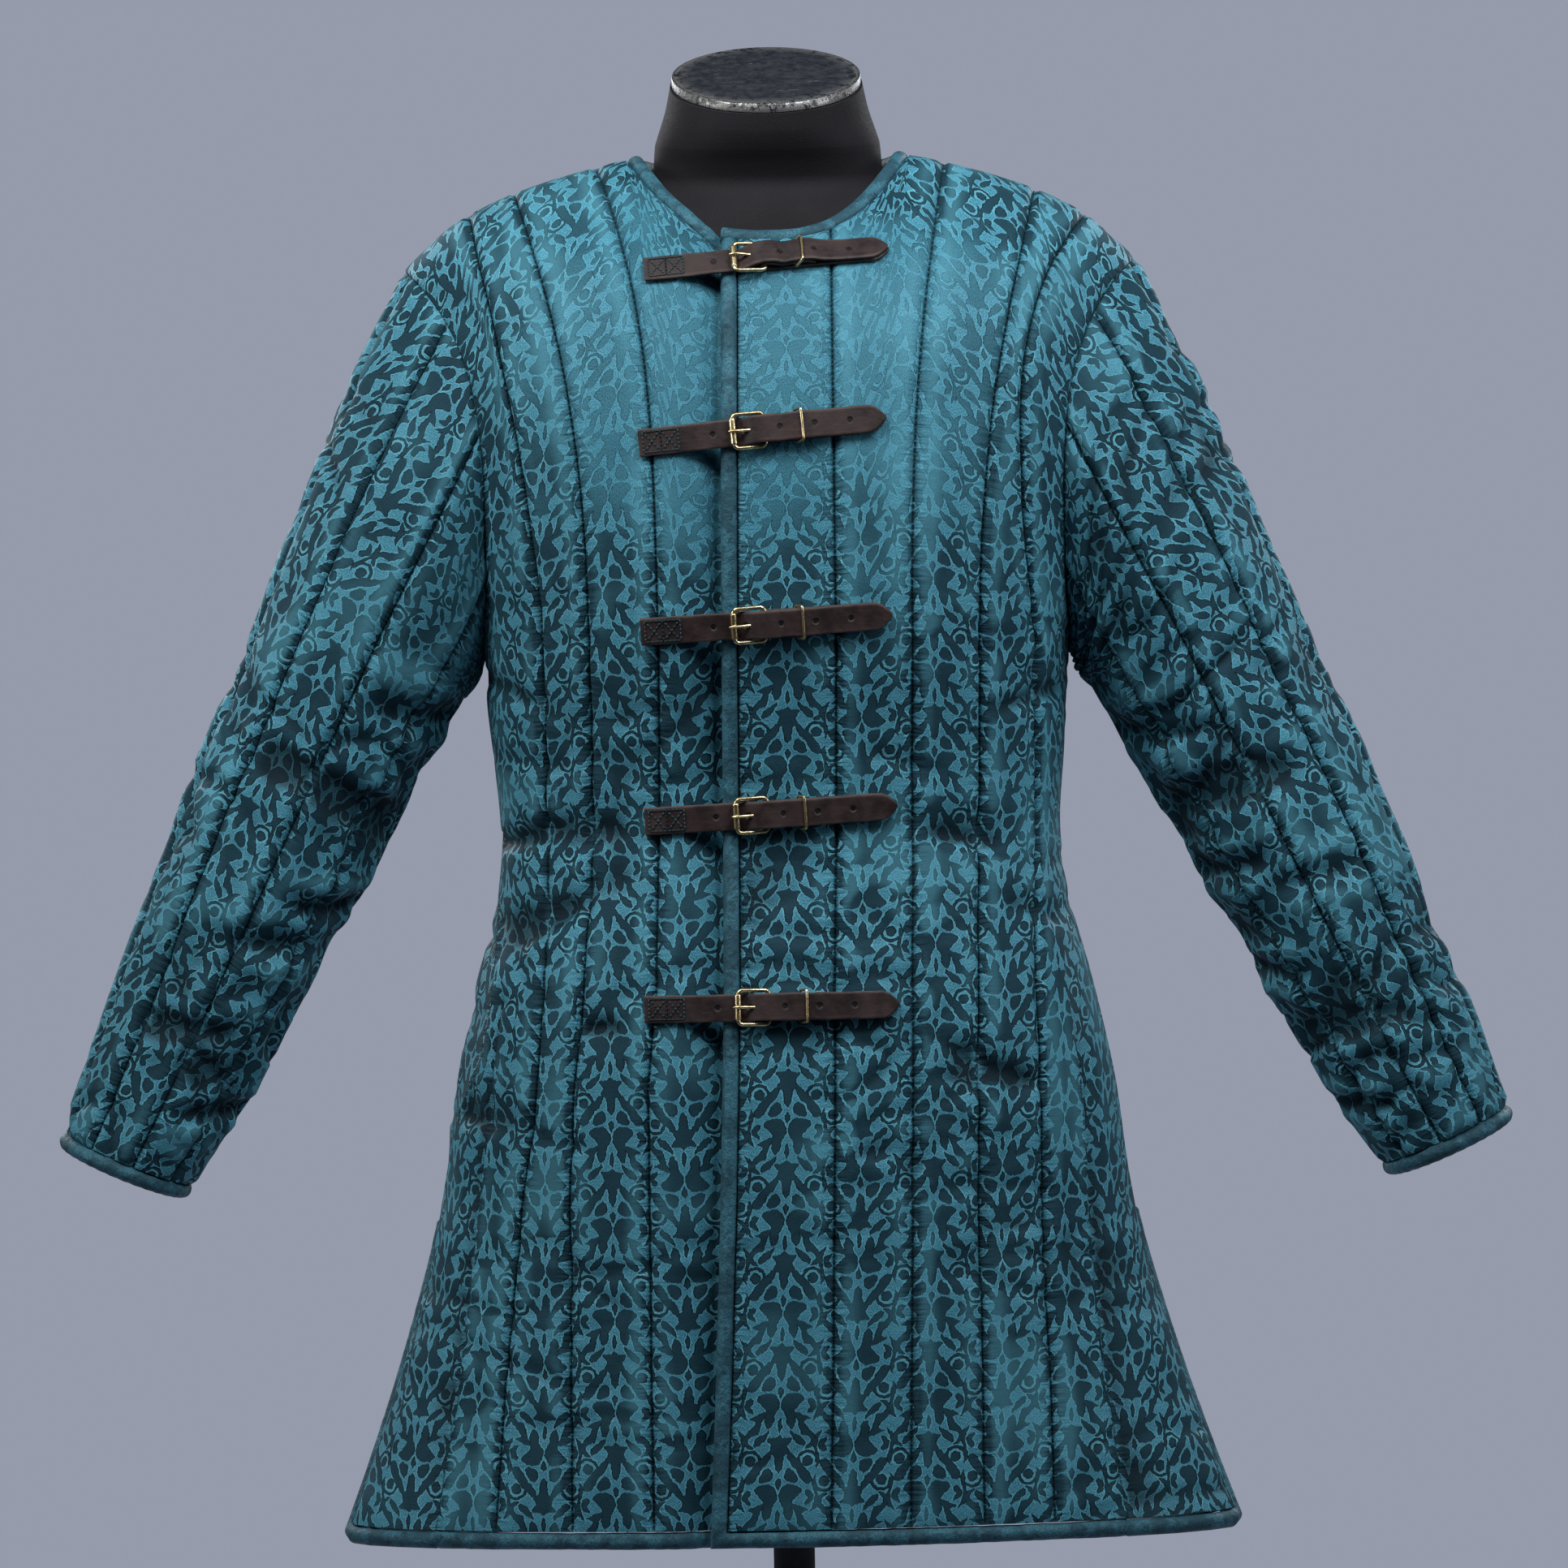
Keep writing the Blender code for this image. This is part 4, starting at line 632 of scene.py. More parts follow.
def fine_panel(rows, sign, front, folds, creases, set_in=False, seed=1.0):
    """A quilted panel from its first line to the side seam: its surfaces and its pattern's coordinates."""
    low_rows = FINE_LOW if front else FINE_LOW - BACK_DROP * np.clip(1 - FINE_LOW / SLIT_TOP, 0, 1)
    climb = FINE_CLIMB
    power = read(OUTLINE, "power", low_rows)
    width = read(OUTLINE, "half_width", low_rows)
    turn = side_turn(sign, low_rows) * (1 if front else -1)
    low_x = [np.interp(low_rows, LINE_HEIGHTS, row["x"]) for row in rows]
    low_turn = [np.arccos(np.sign(x) * np.clip(np.abs(x) / width, 0, 1) ** (power / 2)) for x in low_x]
    low_turn.append(turn)
    hole_x, _ = armhole(climb)
    high_x = []
    for row in rows:
        start = row["x"][-1]
        if row["bend"]:
            high_x.append(start + (row["top"] - start) * climb ** row["bend"])
        else:
            high_x.append(hole_x - (hole_x[0] - start) * (1 - climb) - (hole_x[-1] - row["top"]) * climb)
    high_x.append(hole_x)

    # the stitched lines are those with a groove; a column knows its channel and its share across it
    columns, at_line = [], []
    for k, row in enumerate(rows):
        for weight in channel_places(rows, k):
            angle = low_turn[k] + (low_turn[k + 1] - low_turn[k]) * weight
            at_top = angle[-1]
            x_there = width[-1] * np.sign(np.cos(at_top)) * abs(np.cos(at_top)) ** (2 / power[-1])
            share = (x_there - high_x[k][0]) / (high_x[k + 1][0] - high_x[k][0])
            high = high_x[k] + (high_x[k + 1] - high_x[k]) * share
            columns.append((angle, high, top_height(high[-1], front)))
            at_line.append(k if weight == 0 and row["groove"] else -1)
    columns.append((turn, hole_x, SHOULDER))
    at_line.append(len(rows))

    points = []
    for angle, high, top in columns:
        round_x = width * np.sign(np.cos(angle)) * np.abs(np.cos(angle)) ** (2 / power)
        lift = np.abs(np.sin(angle)) ** (2 / power)
        gap = slit_gap(low_rows)
        facing_front = (angle >= 0) == front
        depth = np.where(facing_front, read(OUTLINE, "front", low_rows), read(OUTLINE, "back", low_rows))
        round_y = (gap + (depth - gap) * lift) * np.where(facing_front, -1, 1)
        high_h = UNDERARM + (top - UNDERARM) * climb[1:]
        high_y = depth_at(high[1:], high_h, front) * (-1 if front else 1)
        low = np.stack([round_x, round_y, low_rows], axis=-1)
        points.append(np.concatenate([low, np.stack([high[1:], high_y, high_h], axis=-1)]))
    points = np.stack(points, axis=1)
    facing = coat_normal(points)
    # distances across and along the cloth, for its pattern and its quilting lines
    across = run_along(points, 1)
    up = np.linalg.norm(np.diff(points, axis=0), axis=-1)
    mean_up = up[:, : max(3, up.shape[1] * 2 // 3)].mean(axis=1)
    rise = low_rows[0] + np.concatenate([[0.0], np.cumsum(mean_up)])
    along = rise[:, None] * np.ones((1, points.shape[1]))

    heights = points[..., 2]
    inward = np.zeros(points.shape[:2])
    nearest = np.full(points.shape[:2], 1.0)
    for c, k in enumerate(at_line):
        if k < 0:
            continue
        away = across - across[:, c : c + 1]
        if k == len(rows):
            dip = PINCH * np.exp(-np.abs(away) / EDGE_FALL)
            strength = np.ones(len(points))
        elif k == 0 and rows[0]["name"] == "edge":
            dip = EDGE_DIP * np.exp(-np.abs(away) / EDGE_FALL)
            strength = np.ones(len(points))
        else:
            strength = 1 - smooth(*FIFTH_FADES, heights[:, c]) if k == len(rows) - 1 else np.ones(len(points))
            dip = groove_at(away)
        inward += dip * strength[:, None]
        nearest = np.minimum(nearest, np.abs(away) + (1 - strength[:, None]) * 0.05)
    inward += fold_depth(folds, points[..., 0] * sign, heights)
    inward += CREASE_DEEP * fold_depth(creases, points[..., 0] * sign, heights)
    below = 1 - smooth(0.50, 0.72, heights)
    inward += WRINKLE_DEEP * below * wrinkles(points[..., 0] * sign, heights, 0.050, 0.024, seed + 2)
    inward -= padding_lumps(points * np.array([sign, 1, 1]), 0.070, 0.022, seed)
    inward = np.minimum(inward, WALL - LEAST_PADDING)
    # how far the cloth is pressed in; the brocade paints shade where it is deep and a highlight where it
    # swells
    hollow = inward / WALL
    edge_share = np.exp(-(np.arange(len(points))[:, None] * HEM_ROW) / EDGE_FALL)
    inward = np.maximum(inward, edge_share * PINCH)
    inward[0], inward[-1] = PINCH, PINCH
    inward[:, -1] = PINCH
    inward[:, 0] = inward[:, 0] if not set_in and not front else PINCH
    low = len(low_rows)

    base = 0.0
    if set_in:
        shares = [SET_IN.get(row["name"], 0.0) for row in rows] + [0.0]
        in_row = []
        for k in range(len(rows)):
            in_row += [shares[k] + (shares[k + 1] - shares[k]) * w for w in channel_places(rows, k)]
        base = UNDERLAP_SET_IN * np.array([*in_row, shares[-1]])[None, :, None]
    outer = points - facing * (inward[..., None] + base)
    inner = points - facing * (WALL + base)
    middle = points - facing * ((PINCH + WALL) / 2 + base)
    into_panel = unit(points[:low, -2] - points[:low, -1])
    back_off = np.where(low_rows < SLIT_TOP - 0.010, ROLL_SPACE, SEAM / 2)[:, None]
    hole, into, _ = armhole_frame(FINE_ANGLES * (1 if front else -1))
    for wall, depth in ((outer, PINCH), (inner, SEAM_WALL), (middle, (PINCH + SEAM_WALL) / 2)):
        wall[:low, -1] += into_panel * back_off
        wall[low - 1 :, -1] = hole + into * depth
        wall[low - 1, -1, 1] += SEAM / 2 * (-1 if front else 1)
        past_neck = points[-1, :, 0] >= NECK_POINT - 1e-6
        wall[-1, past_neck, 1] = SEAM / 2 * (-1 if front else 1)
    # the columns next to the slit's edge make room for its binding
    reach = 6
    for step in range(1, reach):
        pull = (into_panel * back_off) * (1 - step / reach) ** 1.5
        for wall in (outer, inner, middle):
            wall[:low, -1 - step] += np.where(back_off > SEAM, pull, 0.0)
    for wall in (outer, inner, middle, facing):
        wall[..., 0] *= sign
    walls = {"outer": outer, "inner": inner, "middle": middle, "facing": facing}
    return {**walls, "u": across * sign, "v": along, "near": nearest, "hollow": hollow}


def joined(right, left):
    return {key: np.concatenate([right[key][:, :0:-1], left[key]], axis=1) for key in left}


def fine_mesh(name, points, faces, uv, extra, sharp=60):
    """A mesh above the hem's height, with pattern coordinates and named values at its points."""
    mesh = bpy.data.meshes.new(name)
    mesh.from_pydata([tuple(p) for p in points + np.array([0, 0, HEM_Z])], [], faces)
    work = bmesh.new()
    work.from_mesh(mesh)
    bmesh.ops.recalc_face_normals(work, faces=work.faces)
    work.to_mesh(mesh)
    work.free()
    mesh.shade_smooth()
    mesh.set_sharp_from_angle(angle=math.radians(sharp))
    if uv is not None:
        layer = mesh.uv_layers.new(name="cloth")
        index = np.empty(len(mesh.loops), np.int32)
        mesh.loops.foreach_get("vertex_index", index)
        layer.data.foreach_set("uv", uv[index].astype(np.float32).ravel())
    for key, values in extra.items():
        made = mesh.attributes.new(key, "FLOAT", "POINT")
        made.data.foreach_set("value", values.astype(np.float32).ravel())
    obj = bpy.data.objects.new(name, mesh)
    bpy.context.scene.collection.objects.link(obj)
    return obj


def dress(obj, finish, slot_name, *nodes):
    """Gives a piece its material, hangs it under the root body and hides the solids that it stands for;
    slot_name, its place in the record, is not used.
    """
    obj.data.materials.clear()
    obj.data.materials.append(finish)
    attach(obj, "root")
    if nodes:
        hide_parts(*nodes)
    return obj


def fine_wall(name, piece, keep_rows, keep_columns, round_it=False):
    outer, inner = piece["outer"], piece["inner"][np.ix_(keep_rows, keep_columns)]
    out_ids = np.arange(outer.shape[0] * outer.shape[1]).reshape(outer.shape[:2])
    in_ids = np.arange(inner.shape[0] * inner.shape[1]).reshape(inner.shape[:2]) + out_ids.size
    rows, columns = list(keep_rows), list(keep_columns)
    places = [list(range(outer.shape[0])), list(range(outer.shape[1]))]
    if round_it:
        out_ids = np.hstack([out_ids, out_ids[:, :1]])
        in_ids = np.hstack([in_ids, in_ids[:, :1]])
        places[1] = places[1] + [outer.shape[1]]
        columns = [*columns, outer.shape[1]]
    faces = grid_faces(out_ids) + grid_faces(in_ids)
    for r in (0, -1):
        faces += zip_rows(out_ids[r], places[1], in_ids[r], columns)
        if not round_it:
            faces += zip_rows(out_ids[:, r], places[0], in_ids[:, r], rows)
    faces = [tuple(int(i) for i in face) for face in faces]
    pick = np.ix_(keep_rows, keep_columns)
    uv = np.stack([np.concatenate([piece[key].ravel(), piece[key][pick].ravel()]) for key in "uv"], axis=-1)
    ones, zeros = np.ones(len(rows) * inner.shape[1]), np.zeros(len(rows) * inner.shape[1])
    values = {
        "near": np.concatenate([piece["near"].ravel(), ones]),
        "lining": np.concatenate([np.zeros(outer[..., 0].size), ones]),
        "hollow": np.concatenate([piece["hollow"].ravel(), zeros]),
    }
    return fine_mesh(name, np.vstack([outer.reshape(-1, 3), inner.reshape(-1, 3)]), faces, uv, values)


def every(count, step):
    kept = list(range(0, count - 1, step))
    return [*kept, count - 1]


left_front = fine_panel(LEFT_FRONT_LINES, 1, True, FRONT_FOLDS, FRONT_CREASES, seed=1.0)
right_front = fine_panel(RIGHT_FRONT_LINES, -1, True, FRONT_FOLDS, FRONT_CREASES, set_in=True, seed=2.0)
back = joined(
    fine_panel(BACK_LINES, -1, False, BACK_FOLDS, BACK_CREASES, seed=3.0),
    fine_panel(BACK_LINES, 1, False, BACK_FOLDS, BACK_CREASES, seed=3.0),
)


# ---------------------------------------------------------------- sleeves
SLEEVE_CREASES = {
    1: table(
        "place0 turn0 place1 turn1 depth reach",
        (0.46, 25, 0.53, 100, 0.0026, 0.007),
        (0.56, 10, 0.60, 70, 0.0024, 0.007),
        (0.63, 60, 0.67, 120, 0.0018, 0.006),
        (0.70, 5, 0.74, 55, 0.0022, 0.006),
        (0.80, 30, 0.84, 100, 0.0024, 0.006),
        (0.90, 10, 0.93, 60, 0.0022, 0.005),
        (0.34, 5, 0.40, 60, 0.0018, 0.008),
        (0.55, 280, 0.60, 350, 0.0024, 0.007),
        (0.75, 260, 0.78, 330, 0.0022, 0.006),
    ),
    -1: table(
        "place0 turn0 place1 turn1 depth reach",
        (0.47, 20, 0.50, 110, 0.0026, 0.007),
        (0.58, 5, 0.63, 60, 0.0024, 0.006),
        (0.66, 40, 0.72, 100, 0.0020, 0.007),
        (0.80, 60, 0.84, 120, 0.0024, 0.006),
        (0.88, 10, 0.92, 70, 0.0022, 0.005),
        (0.30, 5, 0.37, 70, 0.0022, 0.009),
        (0.56, 270, 0.60, 345, 0.0024, 0.007),
        (0.76, 250, 0.80, 330, 0.0022, 0.006),
    ),
}


# where a channel's columns lie across it on a sleeve, closer together beside the quilting lines
SLEEVE_CHANNEL = (0, 0.03, 0.06, 0.10, 0.15, 0.22, 0.30, 0.40, 0.50, 0.60, 0.70, 0.78, 0.85, 0.90, 0.94, 0.97)
SLEEVE_R = 0.06  # turns an angle round a sleeve into a distance
CREASE_RIDGE = 0.45  # the ridge beside a crease, as a share of its depth
RIDGE_AWAY = 2.2  # and its distance from the crease, in reaches
SLEEVE_SOFT_ENDS = 0.2


def fine_sleeve(sign, folds, seed):
    """A quilted sleeve from the armhole to the cuff: its surfaces and its pattern's coordinates."""
    stops = [*SLEEVE_LINES, *(360 - a for a in SLEEVE_LINES[:0:-1]), 360]
    degrees = []
    for a, b in zip(stops, stops[1:]):
        degrees += [a + (b - a) * w for w in SLEEVE_CHANNEL]
    steps = np.radians(degrees)
    place = np.concatenate([np.linspace(0, 0.06, 7)[:-1], np.linspace(0.06, 1.0, 120)])
    angle, at = np.meshgrid(steps, place)
    base, facing = sleeve_point(angle, at), sleeve_normal(angle, at)
    closed = np.concatenate([base, base[:, :1]], axis=1)
    girth = run_along(closed, 1)
    inward, nearest = np.zeros_like(angle), np.full(angle.shape, 1.0)
    total = girth[:, -1:]
    girth = girth[:, :-1]
    for line in stops[:-1]:
        c = degrees.index(line)
        away = girth - girth[:, c : c + 1]
        away = (away + total / 2) % total - total / 2
        inward += groove_at(away)
        nearest = np.minimum(nearest, np.abs(away))
    for middle_at, middle, half_turn, depth, reach in zip(*folds.values()):
        off = np.abs((np.degrees(angle) - middle + 180) % 360 - 180)
        share = np.exp(-(((at - middle_at) * SLEEVE_LENGTH / reach) ** 2))
        inward += depth * share * (1 - smooth(*FOLD_ENDS, off / half_turn))
    metres = np.array([SLEEVE_LENGTH, math.radians(SLEEVE_R)] * 2)
    for *line, depth, reach in zip(*SLEEVE_CREASES[sign].values()):
        off, strength = from_line(at * SLEEVE_LENGTH, angle * SLEEVE_R, *(line * metres), SLEEVE_SOFT_ENDS)
        trough = np.exp(-((off / reach) ** 2))
        trough -= CREASE_RIDGE * np.exp(-(((off - RIDGE_AWAY * reach) / reach) ** 2))
        inward += CREASE_DEEP * depth * strength * trough
    crosswise = angle * SLEEVE_R + at * 0.05
    inward += SLEEVE_WRINKLE * wrinkles(crosswise, at * SLEEVE_LENGTH, 0.048, 0.024, seed + 2)
    inward -= padding_lumps(base, 0.055, 0.020, seed)
    inward = np.minimum(inward, WALL - LEAST_PADDING)
    # how far the cloth is pressed in; the brocade paints shade where it is deep and a highlight where it
    # swells
    hollow = inward / WALL
    inward[-1] = np.maximum(inward[-1], PINCH)
    outer, inner = base - facing * inward[..., None], base - facing * WALL
    hole, into, over = armhole_frame(np.where(steps > math.pi, steps - 2 * math.pi, steps))
    outer[0] = hole + into * PINCH + over * SEAM
    inner[0] = hole + into * SEAM_WALL + over * SEAM
    middle = base[-1] - facing[-1] * (PINCH + WALL) / 2
    for points in (outer, inner, facing, middle):
        points[..., 0] *= sign
    down = np.concatenate([[0], np.cumsum(np.linalg.norm(np.diff(base, axis=0), axis=-1).mean(axis=1))])
    return {
        "outer": outer,
        "inner": inner,
        "facing": facing,
        "middle": middle,
        "u": girth,
        "v": -down[:, None] * np.ones_like(angle),
        "near": nearest,
        "hollow": hollow,
    }


left_sleeve = fine_sleeve(1, LEFT_SLEEVE_FOLDS, 5.0)
right_sleeve = fine_sleeve(-1, RIGHT_SLEEVE_FOLDS, 6.0)


# ---------------------------------------------------------------- materials
class Sums:
    """A material's shader and the arithmetic on its sockets, so that a pattern can be written as formulas."""

    def __init__(self, name, roughness=0.5, metallic=0.0, **sockets):
        self.material = bpy.data.materials.new(name)
        self.material.use_nodes = True
        self.tree = self.material.node_tree
        self.shader = self.tree.nodes["Principled BSDF"]
        self.shader.inputs["Roughness"].default_value = roughness
        self.shader.inputs["Metallic"].default_value = metallic
        for key, value in sockets.items():
            self.shader.inputs[key.replace("_", " ")].default_value = value

    def paint(self, colour, roughness=None, normal=None, metallic=None):
        """Links what the surface's looks are worked out to, and gives the material."""
        looks = {"Base Color": colour, "Metallic": metallic, "Roughness": roughness, "Normal": normal}
        for key, value in looks.items():
            self.link(self.shader, self.shader.inputs.find(key), value)
        return self.material

    def link(self, node, index, value):
        if isinstance(value, bpy.types.NodeSocket):
            self.tree.links.new(value, node.inputs[index])
        elif value is not None:
            node.inputs[index].default_value = value

    def math(self, kind, a, b=None, c=None):
        node = self.tree.nodes.new("ShaderNodeMath")
        node.operation = kind
        for index, value in enumerate((a, b, c)):
            self.link(node, index, value)
        return node.outputs[0]

    def vector(self, kind, a, b=None, c=None, scale=None):
        node = self.tree.nodes.new("ShaderNodeVectorMath")
        node.operation = kind
        for index, value in enumerate((a, b, c)):
            self.link(node, index, value)
        if scale is not None:
            self.link(node, 3, scale)
        return node.outputs[1] if kind in ("DOT_PRODUCT", "LENGTH", "DISTANCE") else node.outputs[0]

    def ramp(self, value, low, high, to_low=0.0, to_high=1.0):
        node = self.tree.nodes.new("ShaderNodeMapRange")
        node.interpolation_type = "SMOOTHSTEP"
        for index, put in enumerate((value, low, high, to_low, to_high)):
            self.link(node, index, put)
        return node.outputs[0]

    def mix(self, share, a, b):
        node = self.tree.nodes.new("ShaderNodeMix")
        node.data_type = "RGBA"
        self.link(node, 0, share)
        for index, value in ((6, a), (7, b)):
            self.link(node, index, value if isinstance(value, bpy.types.NodeSocket) else (*value, 1.0))
        return node.outputs[2]

    def noise(self, vector, scale, detail=2.0, rough=0.5, coloured=False):
        node = self.tree.nodes.new("ShaderNodeTexNoise")
        self.link(node, 0, vector)
        node.inputs["Scale"].default_value = scale
        node.inputs["Detail"].default_value = detail
        node.inputs["Roughness"].default_value = rough
        return node.outputs[1 if coloured else 0]

    def split(self, vector):
        """The X, Y and Z of a vector."""
        node = self.tree.nodes.new("ShaderNodeSeparateXYZ")
        self.link(node, 0, vector)
        return node.outputs

    def value_of(self, name):
        node = self.tree.nodes.new("ShaderNodeAttribute")
        node.attribute_name = name
        return node.outputs["Fac"]

    def place(self):
        return self.tree.nodes.new("ShaderNodeTexCoord").outputs["Object"]

    def bump(self, height, distance, strength=1.0, after=None):
        node = self.tree.nodes.new("ShaderNodeBump")
        node.inputs["Distance"].default_value = distance
        node.inputs["Strength"].default_value = strength
        self.link(node, node.inputs.find("Height"), height)
        if after is not None:
            self.link(node, node.inputs.find("Normal"), after)
        return node.outputs[0]


def times(colour, share):
    return tuple(share * part for part in colour)


# The brocade's repeat in millimetres: an upright motif on one mirror line and the same one turned over on the
# next. Each row is how far down from the motif's peak a line is, and where a dark shape starts and ends there.
# Rows with no width end a shape, and the next row starts another.
AXES_APART = 49.0
REPEAT_UP = 60.0
TURN_DOWN = 14.7
STEM = table(
    "down from to",
    (9.5, 0.2, 0.4), (12.0, -1.0, 1.4), (15.0, -1.4, 1.8), (18.0, -1.0, 1.3), (20.4, -0.1, 0.1),
    (20.9, -0.6, 0.6), (22.6, -2.6, 2.6), (23.0, -8.1, 8.1), (24.2, -8.4, 8.4), (26.0, -6.8, 6.8),
    (28.0, -5.4, 5.4), (30.0, -6.2, 6.2), (32.0, -7.4, 7.4), (33.6, -5.8, 5.8), (34.4, -3.6, 3.6),
    (40.0, -2.9, 2.9), (43.0, -2.5, 2.5), (46.0, -0.1, 0.1),
    (48.8, -0.1, 0.1), (51.4, -2.4, 2.4), (54.5, -1.6, 1.6), (57.5, -0.1, 0.1),
)
LIMB = table(
    "down from to",
    (5.0, 7.4, 7.6), (7.0, 8.0, 14.6), (9.0, 9.6, 18.2), (10.3, 10.6, 20.8), (11.2, 11.2, 18.0),
    (12.2, 11.6, 16.0), (15.0, 12.2, 17.4), (17.0, 12.8, 19.6), (19.0, 13.4, 21.4), (20.8, 14.0, 22.8),
    (21.6, 18.2, 23.4), (24.0, 20.3, 24.2), (26.0, 20.0, 23.9), (28.0, 18.0, 22.7), (29.6, 16.4, 20.8),
    (30.4, 17.2, 17.4),
    (31.4, 5.2, 5.4), (33.0, 4.8, 8.8), (35.0, 5.0, 10.4), (37.0, 5.8, 12.6), (39.0, 7.0, 15.0),
    (41.0, 8.0, 16.6), (43.0, 10.7, 18.2), (45.0, 12.1, 20.0), (47.0, 13.0, 21.2), (49.0, 14.2, 22.2),
    (51.0, 15.6, 22.6), (52.4, 16.9, 21.4), (53.0, 19.0, 19.2),
)
HEART = table(
    "down from to",
    (17.2, 6.6, 6.8), (19.8, 6.6, 10.2), (21.5, 7.6, 13.4), (23.0, 8.4, 15.2), (24.5, 9.4, 16.6),
    (26.0, 10.8, 17.4), (27.5, 12.6, 17.6), (29.0, 16.0, 16.2),
    (42.2, 6.4, 6.8), (44.0, 4.2, 9.8), (46.0, 3.6, 11.4), (48.0, 3.4, 12.4), (50.0, 4.0, 13.0),
    (51.6, 6.4, 12.8), (52.6, 10.4, 10.8),
    (56.6, 19.6, 19.8), (58.0, 17.4, 22.4), (60.5, 18.0, 23.4), (62.2, 19.4, 23.8), (64.0, 18.3, 23.3),
    (65.8, 17.3, 21.4), (67.0, 17.6, 17.8),
)
LOBE = table(
    "down from to",
    (19.0, 24.4, 24.6), (21.0, 23.0, 25.9), (24.0, 22.1, 25.8), (27.0, 21.8, 25.6), (31.0, 23.0, 26.8),
    (34.0, 23.9, 27.3), (36.5, 23.4, 26.8), (38.6, 23.6, 23.8),
    (53.0, 6.0, 6.4), (54.0, 3.6, 12.8), (55.5, 2.2, 15.0), (57.0, 1.3, 16.0), (58.5, 0.7, 15.4),
    (60.0, 0.1, 13.8), (61.5, 0.3, 12.4), (63.0, 0.3, 11.0), (64.5, 1.1, 9.8), (66.0, 2.1, 9.8),
    (69.0, 3.8, 10.1), (72.0, 3.6, 10.6), (74.5, 4.6, 9.8), (76.2, 6.0, 9.2), (77.4, 7.9, 8.1),
)
CURL = table(
    "down from to",
    (46.5, 24.2, 24.4), (49.0, 22.6, 25.4), (52.0, 21.6, 25.2), (55.0, 22.4, 26.2), (58.0, 23.5, 27.2),
    (61.0, 23.9, 27.4), (64.0, 23.7, 27.0), (67.0, 22.9, 25.9), (70.0, 21.6, 24.0), (72.4, 20.6, 20.8),
)
STROKES = (STEM, LIMB, HEART, LOBE, CURL)
SPIRAL = dict(x=18.8, down=38.0, core=3.7, turn_from=5.1, turn_to=7.5, mouth=3.9)
LINES = 240  # how finely the rows are drawn
WIDEST = 32.0  # mm, what 1 stands for in the look-up curves
NO_SHAPE = -3.0  # the half width of a gap between shapes, in mm


def stroke_spans(stroke, down):
    """Middle and half width of a stroke at each distance down, one repeat of it."""
    middle, half = np.zeros(len(down)), np.full(len(down), NO_SHAPE)
    ends = (stroke["to"] - stroke["from"]) / 2 < 0.25
    for turn in (0.0, REPEAT_UP):
        at = down + turn
        wide = np.interp(at, stroke["down"], (stroke["to"] - stroke["from"]) / 2, NO_SHAPE, NO_SHAPE)
        for row in np.flatnonzero(ends[:-1] & ends[1:]):
            wide[(at > stroke["down"][row]) & (at < stroke["down"][row + 1])] = NO_SHAPE
        here = wide > half
        half[here] = wide[here]
        middle[here] = np.interp(at, stroke["down"], (stroke["from"] + stroke["to"]) / 2)[here]
    return middle, half


def look_up(s, at, columns):
    """A curve node that turns a value from 0 to 1 into up to three columns of values from 0 to 1."""
    node = s.tree.nodes.new("ShaderNodeRGBCurve")
    node.mapping.use_clip = False
    for curve, column in zip(node.mapping.curves, columns):
        steps = np.linspace(0, 1, len(column))
        curve.points[0].location = (0.0, float(column[0]))
        curve.points[1].location = (1.0, float(column[-1]))
        for step, value in zip(steps[1:-1], column[1:-1]):
            curve.points.new(float(step), float(value))
        for point in curve.points:
            point.handle_type = "VECTOR"
    node.mapping.update()
    s.link(node, 1, at)
    return node.outputs[0]


